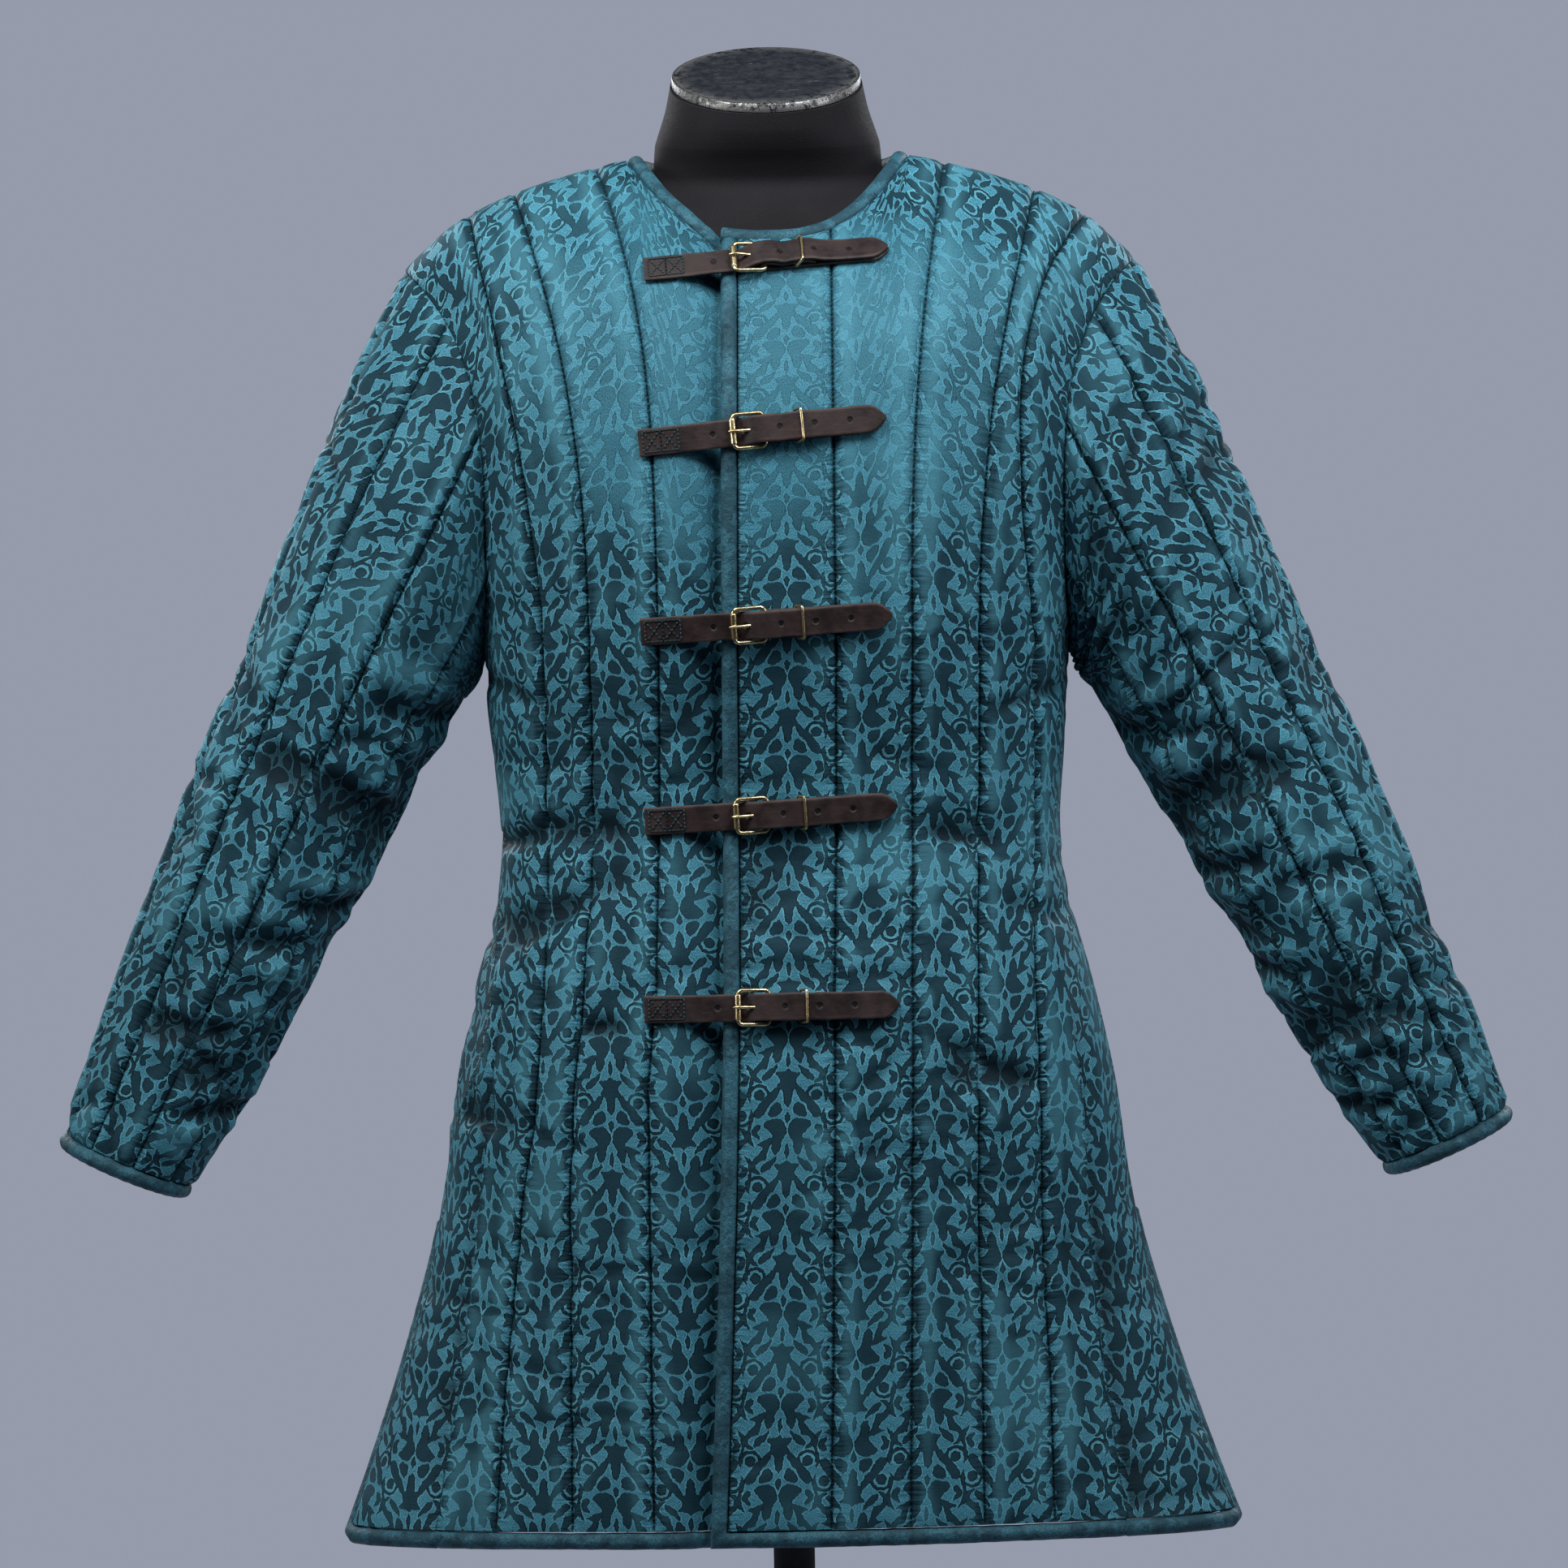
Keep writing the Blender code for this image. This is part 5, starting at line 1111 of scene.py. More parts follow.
def brocade_pattern(s, place, shift):
    """Distance to the dark motif in mm, below zero inside it, from coordinates in mm."""
    point = s.vector("ADD", place, (*shift, 0.0))
    side, up, _ = s.split(s.vector("WRAP", point, (AXES_APART, 1e6, 1.0), (-AXES_APART, -1e6, -1.0)))
    x = s.math("ABSOLUTE", side)
    far = s.math("GREATER_THAN", x, AXES_APART / 2)
    keep = s.math("MULTIPLY_ADD", far, -2.0, 1.0)
    x = s.math("MULTIPLY_ADD", x, keep, s.math("MULTIPLY", far, AXES_APART))
    turned = s.math("MULTIPLY", far, 2 * TURN_DOWN)
    down = s.math("MULTIPLY_ADD", up, s.math("MULTIPLY", keep, -1.0), turned)
    down = s.math("WRAP", down, REPEAT_UP, 0.0)
    share = s.math("DIVIDE", down, REPEAT_UP)
    across = s.math("DIVIDE", x, WIDEST)
    lines = np.linspace(0, REPEAT_UP, LINES + 1)
    spans = [stroke_spans(stroke, lines) for stroke in STROKES]
    nearest = None
    for first in range(0, len(spans), 3):
        group = spans[first:first + 3]
        middles = look_up(s, share, [middle / WIDEST for middle, half in group])
        halves = look_up(s, share, [(half - NO_SHAPE) / WIDEST for middle, half in group])
        away = s.vector("SUBTRACT", s.vector("ABSOLUTE", s.vector("SUBTRACT", across, middles)), halves)
        if len(group) < 3:
            away = s.vector("ADD", away, tuple(0.0 if k < len(group) else 1.0 for k in range(3)))
        nearest = away if nearest is None else s.vector("MINIMUM", nearest, away)
    parts = s.split(nearest)
    least = s.math("MINIMUM", s.math("MINIMUM", parts[0], parts[1]), parts[2])
    least = s.math("MULTIPLY_ADD", least, WIDEST, -NO_SHAPE)
    # the spiral: a dark core and a dark turn that opens on its lower side
    right = s.math("SUBTRACT", x, SPIRAL["x"])
    under = s.math("SUBTRACT", down, SPIRAL["down"])
    radius = s.math("SQRT", s.math("MULTIPLY_ADD", right, right, s.math("MULTIPLY", under, under)))
    least = s.math("MINIMUM", least, s.math("SUBTRACT", radius, SPIRAL["core"]))
    middle = (SPIRAL["turn_from"] + SPIRAL["turn_to"]) / 2
    turn = s.math("ABSOLUTE", s.math("SUBTRACT", radius, middle))
    turn = s.math("SUBTRACT", turn, middle - SPIRAL["turn_from"])
    mouth = s.math("MULTIPLY_ADD", right, 0.45, s.math("MULTIPLY_ADD", under, 0.89, -SPIRAL["mouth"]))
    return s.math("MINIMUM", least, s.math("MAXIMUM", turn, mouth))


GROUND = (0.052, 0.205, 0.285)
MOTIF = (0.0012, 0.0060, 0.0110)
MOTIF_MIDDLE = (0.0095, 0.042, 0.063)
OUTLINE_THREAD = (0.105, 0.350, 0.455)
SEAM_THREAD = (0.004, 0.014, 0.020)
LINING = (0.030, 0.090, 0.105)
CHEST_SHEEN_FROM = (1.03, 1.17)  # painted sheen on the chest, which pales the motif, comes in between these heights
CHEST_SHEEN_TO = (1.32, 1.25)  # and goes again between these
CHEST_SHEEN_SIDE = (0.185, 0.085)  # the painted sheen begins and is whole at these distances from the middle
CHEST_SHEEN_DRIFT = (0.14, 0.0, 0.20)  # how far the painted sheen's edge wanders across and up
# how much of the motif's darkness the painted sheen takes away
CHEST_SHEEN_SHARE = 0.45
DASH = 2.1  # mm of thread showing at each quilting stitch
JAG = (2.4, 2.4, 0.0)  # mm by which the motif's outline is shaken, in all


def brocade(name, shift):
    """Damask brocade: satin ground, matt motif with a paler outline, and thread in the quilting lines."""
    sheen = {"Sheen_Weight": 0.03, "Sheen_Roughness": 0.4, "Sheen_Tint": (0.45, 0.85, 0.95, 1.0)}
    s = Sums(name, Specular_IOR_Level=0.12, **sheen)
    cloth = s.tree.nodes.new("ShaderNodeUVMap")
    cloth.uv_map = "cloth"
    mm = s.vector("SCALE", cloth.outputs[0], scale=1000.0)
    jagged = s.vector("MULTIPLY_ADD", s.noise(mm, 0.38, coloured=True), JAG, times(JAG, -0.5))
    away = brocade_pattern(s, s.vector("ADD", mm, jagged), shift)
    dark = s.ramp(away, 0.10, -0.35)
    band = s.math("MULTIPLY", s.ramp(away, -0.25, 0.10), s.ramp(away, 0.75, 0.35))
    inner = s.ramp(away, -0.65, -1.05)
    thread = s.noise(s.vector("MULTIPLY", mm, (1.5, 1.0, 0.0)), 1.0, 2.0, 0.65)
    place = s.place()
    worn = s.noise(place, 34.0, 3.0, 0.6)
    near = s.value_of("near")
    lining = s.value_of("lining")
    ground = s.mix(s.ramp(thread, 0.30, 0.72), times(GROUND, 0.42), times(GROUND, 1.55))
    # painted sheen on the upper chest: the satin of both weaves lies to the light there, so the motif is
    # painted paler, fading into the ground
    centred = s.vector("ADD", place, times(CHEST_SHEEN_DRIFT, -0.5))
    side, _, high = s.split(s.vector("MULTIPLY_ADD", s.noise(place, 14.0, 3.0), CHEST_SHEEN_DRIFT, centred))
    painted_sheen = s.math("MULTIPLY", s.ramp(high, *CHEST_SHEEN_FROM), s.ramp(high, *CHEST_SHEEN_TO))
    painted_sheen = s.math("MULTIPLY", painted_sheen, s.ramp(s.math("ABSOLUTE", side), *CHEST_SHEEN_SIDE))
    middle = s.mix(painted_sheen, MOTIF_MIDDLE, times(GROUND, 0.62))
    motif = s.mix(s.math("MULTIPLY", inner, s.ramp(thread, 0.25, 0.75, 0.45, 1.0)), MOTIF, middle)
    dark = s.math("MULTIPLY", dark, s.math("MULTIPLY_ADD", painted_sheen, -CHEST_SHEEN_SHARE, 1.0))
    band = s.math("MULTIPLY", band, s.math("MULTIPLY_ADD", painted_sheen, -0.8, 1.0))
    colour = s.mix(s.math("MULTIPLY", band, s.ramp(worn, 0.30, 0.62, 0.25, 0.95)), ground, OUTLINE_THREAD)
    colour = s.mix(s.math("MULTIPLY", dark, s.ramp(worn, 0.25, 0.7, 1.0, 0.95)), colour, motif)
    # dashes of quilting thread along each line; painted shade in the creases, folds and grooves, and a painted
    # highlight where the padding swells
    dash = s.ramp(s.math("PINGPONG", s.split(mm)[1], DASH), 0.17 * DASH, 0.36 * DASH)
    dash = s.math("MULTIPLY", dash, s.ramp(near, 0.0010, 0.0006))
    hollow = s.value_of("hollow")
    off_line = s.ramp(near, 0.0012, 0.0060, 0.25, 1.0)
    # painted shade: the deeper the cloth is pressed in, the nearer it is painted to the dark motif colour,
    # less so beside the lines
    painted_crease_shade = s.math("MULTIPLY", s.ramp(hollow, 0.14, 0.62, 0.0, 0.74), off_line)
    colour = s.mix(painted_crease_shade, colour, MOTIF)
    # painted highlight where the padding swells out past the crest, in the pale outline colour
    colour = s.mix(s.ramp(hollow, 0.02, -0.26, 0.0, 0.30), colour, OUTLINE_THREAD)
    # painted shade along the groove of each quilting line, as a darkened copy of the ground
    deep = s.ramp(near, 0.0026, 0.0003, 0.0, 0.30)
    colour = s.mix(deep, colour, times(GROUND, 0.22))
    colour = s.mix(s.math("MULTIPLY", dash, 0.8), colour, SEAM_THREAD)
    inside = s.mix(s.ramp(thread, 0.3, 0.7), times(LINING, 0.7), LINING)
    colour = s.mix(lining, colour, inside)
    matt = s.math("MULTIPLY_ADD", dark, 0.20, s.math("MULTIPLY_ADD", thread, 0.16, 0.42))
    # puckers that run out from each line, a slow drape, and the weave
    pucker = s.noise(s.vector("MULTIPLY", mm, (0.060, 0.330, 0.0)), 1.0, 1.5)
    pucker = s.math("MULTIPLY", pucker, s.ramp(near, 0.014, 0.001))
    drape = s.noise(place, 55.0, 3.0, 0.55)
    height = s.math("MULTIPLY_ADD", drape, 0.55, pucker)
    return s.paint(colour, matt, s.bump(thread, 0.00030, 1.0, s.bump(height, 0.0018)))


def binding_satin():
    """Strips cut on the bias: plain satin, wrinkled across."""
    s = Sums("bias_satin", Sheen_Weight=0.05, Sheen_Roughness=0.4, Specular_IOR_Level=0.22)
    place = s.place()
    thread = s.noise(place, 1300.0, 2.0, 0.6)
    patches = s.noise(place, 55.0, 3.0, 0.6)
    pulled = s.noise(place, 240.0, 2.0, 0.5)
    colour = s.mix(s.ramp(thread, 0.3, 0.7), times(GROUND, 0.30), times(GROUND, 0.85))
    colour = s.mix(s.math("MULTIPLY", s.ramp(patches, 0.42, 0.58), 0.75), colour, MOTIF_MIDDLE)
    colour = s.mix(s.math("MULTIPLY", s.ramp(pulled, 0.56, 0.72), 0.45), colour, MOTIF)
    height = s.math("MULTIPLY_ADD", pulled, 3.0, thread)
    return s.paint(colour, s.ramp(patches, 0.3, 0.7, 0.44, 0.62), s.bump(height, 0.0004))


def leather_material():
    s = Sums("worn_leather", Specular_IOR_Level=0.22)
    place = s.place()
    grain = s.noise(place, 900.0, 3.0, 0.6)
    patches = s.noise(place, 60.0, 4.0, 0.6)
    streaks = s.noise(s.vector("MULTIPLY", place, (60.0, 60.0, 900.0)), 1.0, 2.0)
    rim = s.value_of("rim")
    colour = s.mix(s.ramp(patches, 0.3, 0.7), (0.013, 0.008, 0.009), (0.034, 0.021, 0.021))
    colour = s.mix(s.math("MULTIPLY", s.ramp(streaks, 0.55, 0.8), 0.35), colour, (0.062, 0.043, 0.040))
    rubbed = s.math("MULTIPLY", rim, s.ramp(patches, 0.35, 0.65, 0.2, 0.8))
    colour = s.mix(rubbed, colour, (0.075, 0.052, 0.047))
    hole = s.value_of("hole")
    # the punched holes are painted near black: painted shade inside holes that the mesh only dents
    colour = s.mix(s.ramp(hole, 0.0019, 0.0014), colour, (0.002, 0.002, 0.003))
    height = s.math("MULTIPLY_ADD", grain, 0.5, s.math("MULTIPLY", s.noise(place, 260.0, 2.0), 0.7))
    dent = s.ramp(hole, 0.0026, 0.0012)
    height = s.math("SUBTRACT", height, s.math("MULTIPLY", dent, 2.5))
    return s.paint(colour, s.ramp(patches, 0.2, 0.8, 0.42, 0.62), s.bump(height, 0.0003))


def brass_material():
    s = Sums("old_brass", metallic=1.0)
    place = s.place()
    tarnish = s.noise(place, 240.0, 5.0, 0.65)
    scratch = s.noise(s.vector("MULTIPLY", place, (900.0, 900.0, 120.0)), 1.0, 2.0)
    colour = s.mix(s.ramp(tarnish, 0.36, 0.62), (0.30, 0.215, 0.100), (0.78, 0.66, 0.40))
    return s.paint(colour, s.ramp(tarnish, 0.3, 0.7, 0.42, 0.22), s.bump(scratch, 0.00008, 0.6))


def form_material():
    s = Sums("black_cover", Sheen_Weight=0.03, Sheen_Roughness=0.5, Specular_IOR_Level=0.18)
    place = s.place()
    knit = s.noise(s.vector("MULTIPLY", place, (1500.0, 1500.0, 700.0)), 1.0, 2.0)
    fade = s.noise(place, 14.0, 3.0)
    colour = s.mix(s.ramp(fade, 0.3, 0.7), (0.0040, 0.0036, 0.0055), (0.0085, 0.0078, 0.0110))
    colour = s.mix(s.math("MULTIPLY", s.ramp(knit, 0.5, 0.8), 0.35), colour, (0.022, 0.020, 0.027))
    height = s.math("MULTIPLY_ADD", fade, 2.0, knit)
    return s.paint(colour, s.ramp(knit, 0.2, 0.8, 0.62, 0.85), s.bump(height, 0.0003))


def cap_material():
    """Black paint over steel, worn bright along the rim and scratched on top."""
    s = Sums("worn_paint")
    place = s.place()
    rim = s.value_of("rim")
    chips = s.noise(place, 130.0, 5.0, 0.7)
    scratch = s.noise(s.vector("MULTIPLY", place, (40.0, 700.0, 700.0)), 1.0, 3.0, 0.6)
    worn_rim = s.math("MULTIPLY", rim, s.ramp(chips, 0.40, 0.52))
    scratched = s.math("MULTIPLY", s.ramp(scratch, 0.66, 0.72), s.ramp(chips, 0.42, 0.60))
    bare = s.math("MAXIMUM", worn_rim, scratched)
    black = s.mix(s.ramp(chips, 0.3, 0.7), (0.012, 0.014, 0.018), (0.030, 0.034, 0.042))
    colour = s.mix(bare, black, (0.30, 0.30, 0.30))
    relief = s.bump(s.math("MULTIPLY_ADD", bare, -1.0, chips), 0.0002)
    return s.paint(colour, s.ramp(chips, 0.3, 0.7, 0.28, 0.45), relief, metallic=bare)


def stand_material():
    s = Sums("stand_paint", metallic=0.3)
    place = s.place()
    grain = s.noise(place, 420.0, 4.0, 0.6)
    wear = s.noise(place, 30.0, 4.0, 0.6)
    colour = s.mix(s.ramp(wear, 0.35, 0.7), (0.010, 0.010, 0.011), (0.026, 0.026, 0.028))
    return s.paint(colour, s.ramp(wear, 0.3, 0.7, 0.36, 0.55), s.bump(grain, 0.0002))


def thread_material():
    s = Sums("waxed_thread", roughness=0.55)
    twist = s.noise(s.place(), 1500.0, 2.0)
    colour = s.mix(twist, (0.002, 0.012, 0.016), (0.006, 0.034, 0.042))
    return s.paint(colour, normal=s.bump(twist, 0.0002))


# Where the upright motif's axis and its turning point lie on each piece, in millimetres
CLOTH_LEFT = brocade("brocade_left_front", (-31.7, -215.5))
CLOTH_RIGHT = brocade("brocade_right_front", (130.7, -151.0))
CLOTH_BACK = brocade("brocade_back", (0.0, -180.0))
CLOTH_LEFT_SLEEVE = brocade("brocade_left_sleeve", (-20.0, 10.0))
CLOTH_RIGHT_SLEEVE = brocade("brocade_right_sleeve", (-34.0, 24.0))
CLOTH_BINDING = binding_satin()
WORN_LEATHER = leather_material()
OLD_BRASS = brass_material()
BLACK_COVER = form_material()
WORN_PAINT = cap_material()
STAND_PAINT = stand_material()
WAXED_THREAD = thread_material()


# ---------------------------------------------------------------- bindings
def outline_faces(rows, sides, closed):
    ids = np.arange(rows * sides).reshape(rows, sides)
    ids = np.hstack([ids, ids[:, :1]])
    if closed:
        ids = np.vstack([ids, ids[:1]])
    faces = grid_faces(ids)
    if not closed:
        faces += [tuple(int(i) for i in ids[0, :-1]), tuple(int(i) for i in ids[-1, :-1])]
    return faces


def fine_sweep(name, centres, across, out, profile, closed=False):
    """A profile of (across, out) points carried along centres; the pattern runs round it and along it."""
    points = centres[:, None] + across[:, None] * profile[..., :1] + out[:, None] * profile[..., 1:]
    v, u = np.meshgrid(run_along(centres), run_along(profile[0]), indexing="ij")
    uv = np.stack([u, v], axis=-1).reshape(-1, 2)
    values = {"near": np.full(points.shape[:2], 1.0), "lining": np.zeros(points.shape[:2])}
    return fine_mesh(name, points.reshape(-1, 3), outline_faces(*points.shape[:2], closed), uv, values)


ROLL_FINE = 20
FINE_SLIT = np.flatnonzero(FINE_LOW < SLIT_TOP - 0.010)[::-1]
FINE_LAST = len(FINE_LOW) + len(FINE_CLIMB) - 2
INTO_PANEL, INTO_FRONT = 8, 3  # the way out past an edge is read from this many columns further in


def past(piece, rows, column, before):
    return edge(piece, rows, column, piece["middle"][rows, column] - piece["middle"][rows, before])


def past_hem(piece, columns):
    return edge(piece, 0, columns, piece["middle"][0, columns] - piece["middle"][1, columns])


def fine_front_binding(piece):
    columns = np.arange(piece["middle"].shape[1])[::-1]
    return round_corners(
        past(piece, FINE_SLIT, columns[0], columns[INTO_PANEL]),
        past_hem(piece, columns),
        past(piece, np.arange(FINE_LAST + 1), 0, INTO_FRONT),
    )


def fine_back_binding(piece):
    columns = np.arange(piece["middle"].shape[1])
    return round_corners(
        past(piece, FINE_SLIT, 0, INTO_PANEL),
        past_hem(piece, columns),
        past(piece, FINE_SLIT[::-1], columns[-1], columns[-1 - INTO_PANEL]),
    )


def fine_neck():
    def at_neck(piece):
        return np.flatnonzero(np.abs(piece["middle"][-1, :, 0]) <= NECK_POINT + 1e-4)

    under, behind, over = at_neck(right_front), at_neck(back), at_neck(left_front)[::-1]
    runs = [
        edge(piece, FINE_LAST, columns, NECK_AXIS - piece["middle"][FINE_LAST, columns])
        for piece, columns in ((right_front, under), (back, behind), (left_front, over))
    ]
    path, across, out = (np.concatenate([runs[0][k], runs[1][k][1:-1], runs[2][k]]) for k in range(3))
    for corner in (len(under) - 1, len(path) - len(over)):
        for near in (corner - 1, corner, corner + 1):
            across[near] = unit(across[corner - 2] + across[corner + 2])
            out[near] = unit(out[corner - 2] + out[corner + 2])
    end = path[-1] + unit(path[-1] - path[-2]) * ROLL_SPACE
    return np.vstack([path, end]), np.vstack([across, across[-1:]]), np.vstack([out, out[-1:]])


CUFF_STITCHES = 31


def roll(name, path, across, out, closed=False):
    """A bound edge: a padded roll with the puckers of its hand sewing."""
    run = run_along(path)
    turn = (np.arange(ROLL_FINE) + 0.5) * 2 * math.pi / ROLL_FINE
    wave = np.array([noise.noise(Vector((d / 0.007, 3.7, 1.1))) for d in run])
    slow = np.array([noise.noise(Vector((d / 0.045, 9.2, 4.1))) for d in run])
    swell = 0.98 + 0.05 * wave + 0.03 * slow
    if closed:
        swell = 1 + 0.03 * np.sin(run / run[-1] * 2 * math.pi * CUFF_STITCHES)
    profile = np.stack(
        [
            ROLL_WIDE + ROLL_GAP + ROLL_WIDE * np.cos(turn)[None] * swell[:, None],
            ROLL_THICK * np.sin(turn)[None] * swell[:, None],
        ],
        axis=-1,
    )
    return fine_sweep(name, path, across, out, profile, closed)


ROLLS = (
    ("roll_front_left", "binding_front_left", fine_front_binding(left_front)),
    ("roll_front_right", "binding_front_right", fine_front_binding(right_front)),
    ("roll_back", "binding_back", fine_back_binding(back)),
    ("roll_neck", "neck_binding", fine_neck()),
)
for name, node, run in ROLLS:
    dress(roll(name, *run), CLOTH_BINDING, "brocade", node)
for name, node, piece in (
    ("roll_cuff_left", "cuff_binding_left", left_sleeve),
    ("roll_cuff_right", "cuff_binding_right", right_sleeve),
):
    path = piece["middle"]
    down = piece["inner"][-1] - piece["inner"][-8]
    across = np.cross(tangents(path, closed=True), piece["facing"][-1])
    across = unit(across * np.sign((across * down).sum(axis=-1, keepdims=True)))
    dress(roll(name, path, across, piece["facing"][-1], closed=True), CLOTH_BINDING, "brocade", node)

# ---------------------------------------------------------------- coat panels
# A panel's flat cut is given by the box round it and its own area.
PANELS = (
    {
        "name": "quilted_front_left",
        "nodes": ("front_left",),
        "piece": left_front,
        "finish": CLOTH_LEFT,
        "flat": (0.36, 0.93),
        "area": 0.285,
        "rolls": ("roll_front_left", "roll_neck"),
    },
    {
        "name": "quilted_front_right",
        "nodes": ("front_right",),
        "piece": right_front,
        "finish": CLOTH_RIGHT,
        "flat": (0.34, 0.93),
        "area": 0.263,
        "rolls": ("roll_front_right",),
    },
    {
        "name": "quilted_back",
        "nodes": ("back_left", "back_right"),
        "piece": back,
        "finish": CLOTH_BACK,
        "flat": (0.66, 0.95),
        "area": 0.525,
        "rolls": ("roll_back",),
    },
)
LINING_ROW, LINING_COLUMN, LINING_SLEEVE_COLUMN = 4, 3, 4  # the lining keeps one point in so many


for panel in PANELS:
    piece = panel["piece"]
    high, wide = piece["outer"].shape[:2]
    made = fine_wall(panel["name"], piece, every(high, LINING_ROW), every(wide, LINING_COLUMN))
    dress(made, panel["finish"], "brocade", *panel["nodes"])
SLEEVES = (("left", left_sleeve, CLOTH_LEFT_SLEEVE), ("right", right_sleeve, CLOTH_RIGHT_SLEEVE))
for side, piece, finish in SLEEVES:
    high, wide = piece["outer"].shape[:2]
    columns = list(range(0, wide, LINING_SLEEVE_COLUMN))
    made = fine_wall(f"quilted_sleeve_{side}", piece, every(high, LINING_ROW), columns, round_it=True)
    dress(made, finish, "brocade", f"sleeve_{side}_front", f"sleeve_{side}_behind")


# ---------------------------------------------------------------- straps, buckles and keepers
def smooth_run(at, out, count):
    """Stations spaced evenly along a smooth curve through (at, out) points."""
    at, out = np.asarray(at, float), np.asarray(out, float)
    run = np.concatenate([[0], np.cumsum(np.hypot(np.diff(at), np.diff(out) * 2))])
    slope_at, slope_out = np.gradient(at, run), np.gradient(out, run)
    want = np.linspace(0, run[-1], count)
    i = np.clip(np.searchsorted(run, want, side="right") - 1, 0, len(run) - 2)
    span = run[i + 1] - run[i]
    t = (want - run[i]) / span

    def hermite(values, slopes):
        return (
            (1 + 2 * t) * (1 - t) ** 2 * values[i]
            + t * (1 - t) ** 2 * span * slopes[i]
            + t * t * (3 - 2 * t) * values[i + 1]
            + t * t * (t - 1) * span * slopes[i + 1]
        )

    return hermite(at, slope_at), hermite(out, slope_out), want, run


SHARP_HARD = 50  # degrees between faces that meet in a sharp edge, on leather and metal
HOLE_DEEP = 0.0013  # how far a punched hole sinks
HOLE_RIM = (0.0012, 0.0019)  # its wall slopes between these distances from its middle
KEEPER_LEAN = 0.0045  # how far back along the strap the keeper's rear side lies
HOLES = (-0.0133, 0.0085, 0.0303, 0.0527, 0.0760)


LEATHER_STEPS = 230  # stations along a strap
LEATHER_BEVEL = 0.0008
LEATHER_ACROSS = np.linspace(-1, 1, 23)
AT_EDGE = 0.99  # share of the half width from which a point lies on the softened edge


def fine_leather(name, strap, at, out, half, thick, holes, seed):
    """A strap with flat faces, softened and slightly uneven edges, and punched holes."""
    fine_at, fine_out, want, run = smooth_run(at, out, LEATHER_STEPS)
    fine_half = np.interp(want, run, half)
    centres, across = strap_points(strap, fine_at, fine_out)
    normal = unit(np.cross(tangents(centres), across))
    edge_wobble = np.array([noise.noise(Vector((d / 0.012, seed, 2.0))) for d in want]) * 0.0003
    share = np.concatenate([LEATHER_ACROSS, LEATHER_ACROSS[::-1]])[None]
    face = np.repeat([1.0, -1.0], len(LEATHER_ACROSS))[None]
    wide = np.clip(fine_half + edge_wobble * (fine_half > 0.006), 0.0006, None)[:, None]
    inner = np.maximum(wide - LEATHER_BEVEL, 0.0002)
    at_edge = np.abs(share) > AT_EDGE
    lift = thick / 2 * face * np.where(at_edge, 0.55, 1.0)
    side = np.where(at_edge, np.sign(share) * wide, share * inner / LEATHER_ACROSS[-2])
    side = np.clip(side, -wide, wide)
    profile = np.stack([side, lift + 0 * side], axis=-1)
    hole = np.full(side.shape, 1.0)
    for place in holes:
        hole = np.minimum(hole, np.hypot(fine_at[:, None] - place, side))
    # a punched hole sinks into the top face
    top = len(LEATHER_ACROSS)
    profile[:, :top, 1] -= HOLE_DEEP * (1 - smooth(*HOLE_RIM, hole[:, :top]))
    rim = smooth(0.72, 1.0, np.abs(side) / wide)
    points = centres[:, None] + across[:, None] * profile[..., :1] + normal[:, None] * profile[..., 1:]
    faces = outline_faces(*points.shape[:2], False)
    return fine_mesh(name, points.reshape(-1, 3), faces, None, {"hole": hole, "rim": rim}, SHARP_HARD)


def tube(path, radius, sides, closed=False, guide=(0.0, 0.0, 1.0)):
    """Points and faces of a round wire through a path; the radius may differ at each station."""
    along = tangents(path, closed)
    side = unit(np.cross(along, np.asarray(guide)))
    for k in range(1, len(side)):
        side[k] = unit(side[k - 1] - along[k] * (side[k - 1] @ along[k]))
    other = np.cross(side, along)
    turn = np.arange(sides) * 2 * math.pi / sides
    radius = np.broadcast_to(np.asarray(radius, float), (len(path),))[:, None, None]
    ring = side[:, None] * np.cos(turn)[None, :, None] + other[:, None] * np.sin(turn)[None, :, None]
    points = path[:, None] + radius * ring
    return points.reshape(-1, 3), outline_faces(len(path), sides, closed)


def together(name, pieces):
    """One mesh from several lists of points and faces."""
    points, faces, start = [], [], 0
    for some, their in pieces:
        points.append(some)
        faces += [tuple(start + i for i in face) for face in their]
        start += len(some)
    points = np.vstack(points)
    return fine_mesh(name, points, faces, None, {}, SHARP_HARD)


WIRE_STEP = 0.003  # longest stretch of a wire ring between two of its points


def rounded(a0, a1, b0, b1, corner, steps=6):
    """A rectangle with round corners, as (a, b) points."""
    made = []
    low_a, high_a, low_b, high_b = a0 + corner, a1 - corner, b0 + corner, b1 - corner
    middles = ((high_a, high_b), (low_a, high_b), (low_a, low_b), (high_a, low_b))
    for (ca, cb), start in zip(middles, (0, 90, 180, 270)):
        for k in range(steps + 1):
            t = math.radians(start + 90 * k / steps)
            made.append((ca + corner * math.cos(t), cb + corner * math.sin(t)))
    dense = []
    for (x0, y0), (x1, y1) in zip(made, made[1:] + made[:1]):
        parts = max(1, int(math.hypot(x1 - x0, y1 - y0) / WIRE_STEP))
        dense += [(x0 + (x1 - x0) * k / parts, y0 + (y1 - y0) * k / parts) for k in range(parts)]
    return np.array(dense)


def in_strap(strap, at, out, wide):
    points, across = strap_points(strap, np.asarray(at, float), np.asarray(out, float))
    return points + across * np.asarray(wide, float)[:, None]


def stitch(a, b, up, thick=0.00055):
    """One stitch: a short thread lying proud of the leather and dipping in at both ends."""
    t = np.array([0.0, 0.12, 0.35, 0.65, 0.88, 1.0])[:, None]
    lift = np.array([-0.0003, 0.0002, 0.0004, 0.0004, 0.0002, -0.0003])[:, None]
    return tube(a + (b - a) * t + up * lift, thick * np.array([0.7, 1, 1, 1, 1, 0.7]), 6, guide=up)


